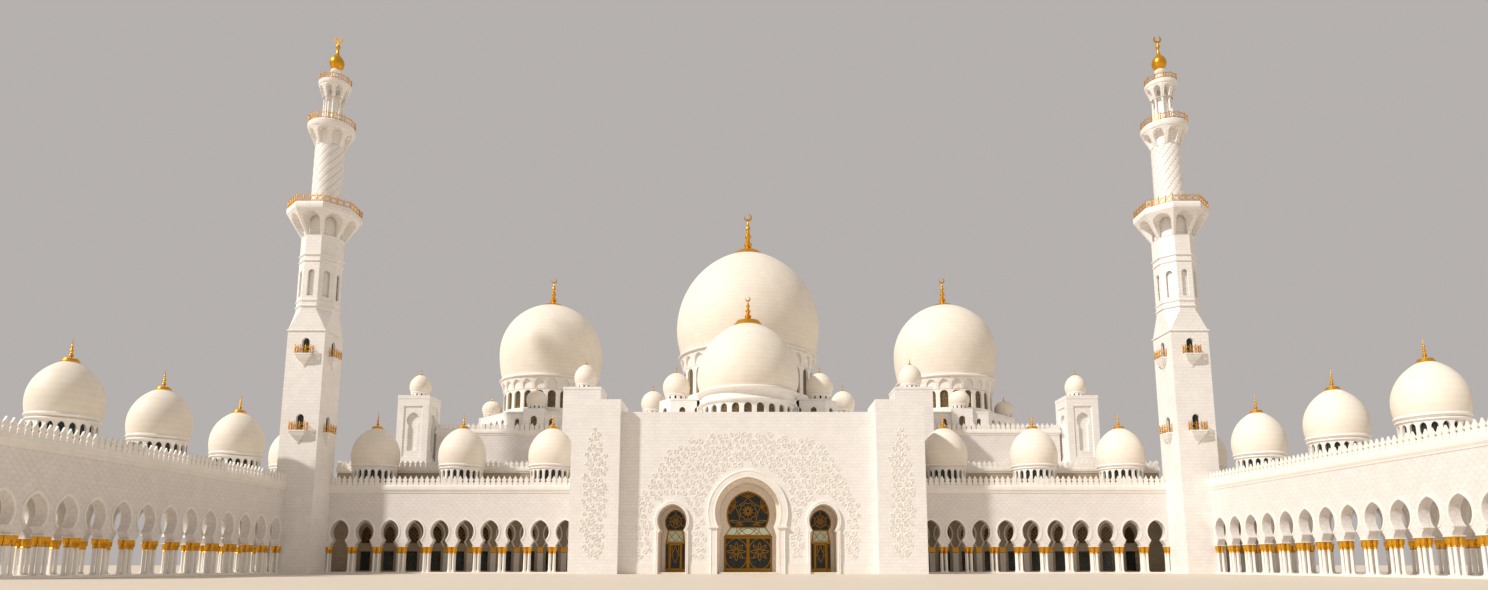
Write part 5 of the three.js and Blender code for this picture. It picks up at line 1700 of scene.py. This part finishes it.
tower_stone, tower_glass = square_tower()
rails = []
for floor_height in BALCONY_FLOORS:
    slab, rail = balcony(floor_height)
    for quarter in range(4):
        cosine, sine = round(math.cos(quarter * math.pi / 2)), round(math.sin(quarter * math.pi / 2))

        def quarter_turn(x, y, z):
            return cosine * x - sine * y, sine * x + cosine * y, z
        tower_stone += relocated(slab, quarter_turn)
        rails += relocated(rail, quarter_turn)
octagon = [turned(rectangle(0, 3.2, 48.9, 69), 8, turn=eighth)]
slot_niche = cove(51.7, 56.2, 56.9, 0.42)
octagon += faceted(8, MINARET_HALF, MINARET_HALF, BROACH_TOP, FLARE_FOOT, 3.2, [slot_niche])
octagon += [octagon_ring(49.5, 49.9, 0.22), octagon_ring(50.6, 51.0, 0.18), octagon_ring(58.4, 58.8, 0.18),
            octagon_ring(59.6, 60.0, 0.22)]
octagon += faceted(8, MINARET_HALF, GALLERY_HALF, FLARE_FOOT, 68.1, 3.4, [cove(63.8, 66.3, 67.7, 0.76)])
octagon.append(moulding(ring_of(GALLERY_HALF, 8), [(-3, 68.05), (0, 68.05), (0.1, 68.3), (0.1, 69.1),
                                                   (0, 69.3), (-3, 69.3)], True))
octagon.append(turned(rectangle(0, 3.6, 68.5, 69.3), 8, turn=eighth))
rails += railing(ring_of(6.0, 8), 69.28, 70.9, 1.25)
shaft = [winding_shaft(69.2, 82.8), turned(rectangle(0, 2.55, 82.5, 86.1), 32)]
shaft += faceted(8, 2.68, 4.2, 82.7, 86.1, 2.5, [cove(82.9, 84.7, 85.75, 0.7)], True)
shaft.append(turned([(0, 86.0), (4.2, 86.0), (4.32, 86.3), (4.32, 87.0), (4.15, 87.2), (0, 87.2)], 64))
rails += railing(ring_of(4.15, 16), 87.18, 88.7, 1.6)
lantern = [turned(rectangle(0, 1.3, 87.2, 93.2), 24)]
for i in range(8):
    lantern.append(turned([(0, 87.2), (0.26, 87.2), (0.26, 87.5), (0.2, 87.6), (0.19, 92.6), (0.27, 92.9),
                           (0.27, 93.05), (0, 93.05)], 10, *polar(0, 0, 1.7, (i + 0.5) * math.pi / 4)))
lantern += faceted(8, 1.98, 2.92, 92.9, 95.7, 1.5, [cove(93.1, 94.5, 95.3, 0.62)], True)
lantern.append(turned([(0, 95.6), (2.92, 95.6), (3.0, 95.8), (3.0, 96.3), (2.9, 96.4), (0, 96.4)], 48))
lantern.append(turned([(0, 96.3), (1.2, 96.3), (1.2, 96.6), (0.6, 96.9), (0.55, 97.3), (1.0, 97.7),
                       (1.05, 98.0), (0.9, 98.3),
                         (0.55, 98.5), (0.95, 98.8), (1.05, 99.1), (0.95, 99.4), (0.5, 99.6), (0, 99.6)], 32))
rails += railing(ring_of(2.85, 12), 96.38, 97.7, 1.5)
onion = [turned([(0, 99.5), (0.5, 99.5), (0.85, 99.75), (1.2, 100.2), (1.37, 100.8), (1.36, 101.3),
                 (1.15, 101.9), (0.75, 102.4), (0.42, 102.8), (0.28, 103.3), (0.2, 104.1), (0.24, 104.2),
                 (0.4, 104.45), (0.42, 104.7), (0.3, 104.95), (0.12, 105.1), (0.09, 105.4), (0, 105.4)], 32)]
outer_edge, inner_edge = [[polar(0, height, radius, math.radians(-238 + i * 14.8)) for i in range(21)]
                          for height, radius in ((106.2, 0.78), (106.3, 0.5))]
onion.append(prism(outer_edge + inner_edge[-2:0:-1], -0.09, 0.09, facing_front))
for name, side in sides:
    for part, shapes, material, slot, gone in (
            ("tower_stone", tower_stone, wall_marble, "marble", [f"{name}_minaret_tower"]),
            ("tower_glass", tower_glass, dark_glass, "bronze_and_glass", []),
            ("octagon_and_gallery", octagon, wall_marble, "marble", []),
            ("winding_shaft", shaft, wall_marble, "marble", [f"{name}_minaret_shaft"]),
            ("lantern_stone", lantern, wall_marble, "marble", [f"{name}_minaret_lantern"]),
            ("railings", rails, gold, "gold", []),
            ("onion_and_crescent", onion, gold, "gold", [])):
        placed = relocated(shapes, lambda x, y, z: (side * MINARET_X + x, MINARET_Y + y, z))
        made(f"{name}_minaret_{part}", placed, material, slot, replaces=gone)
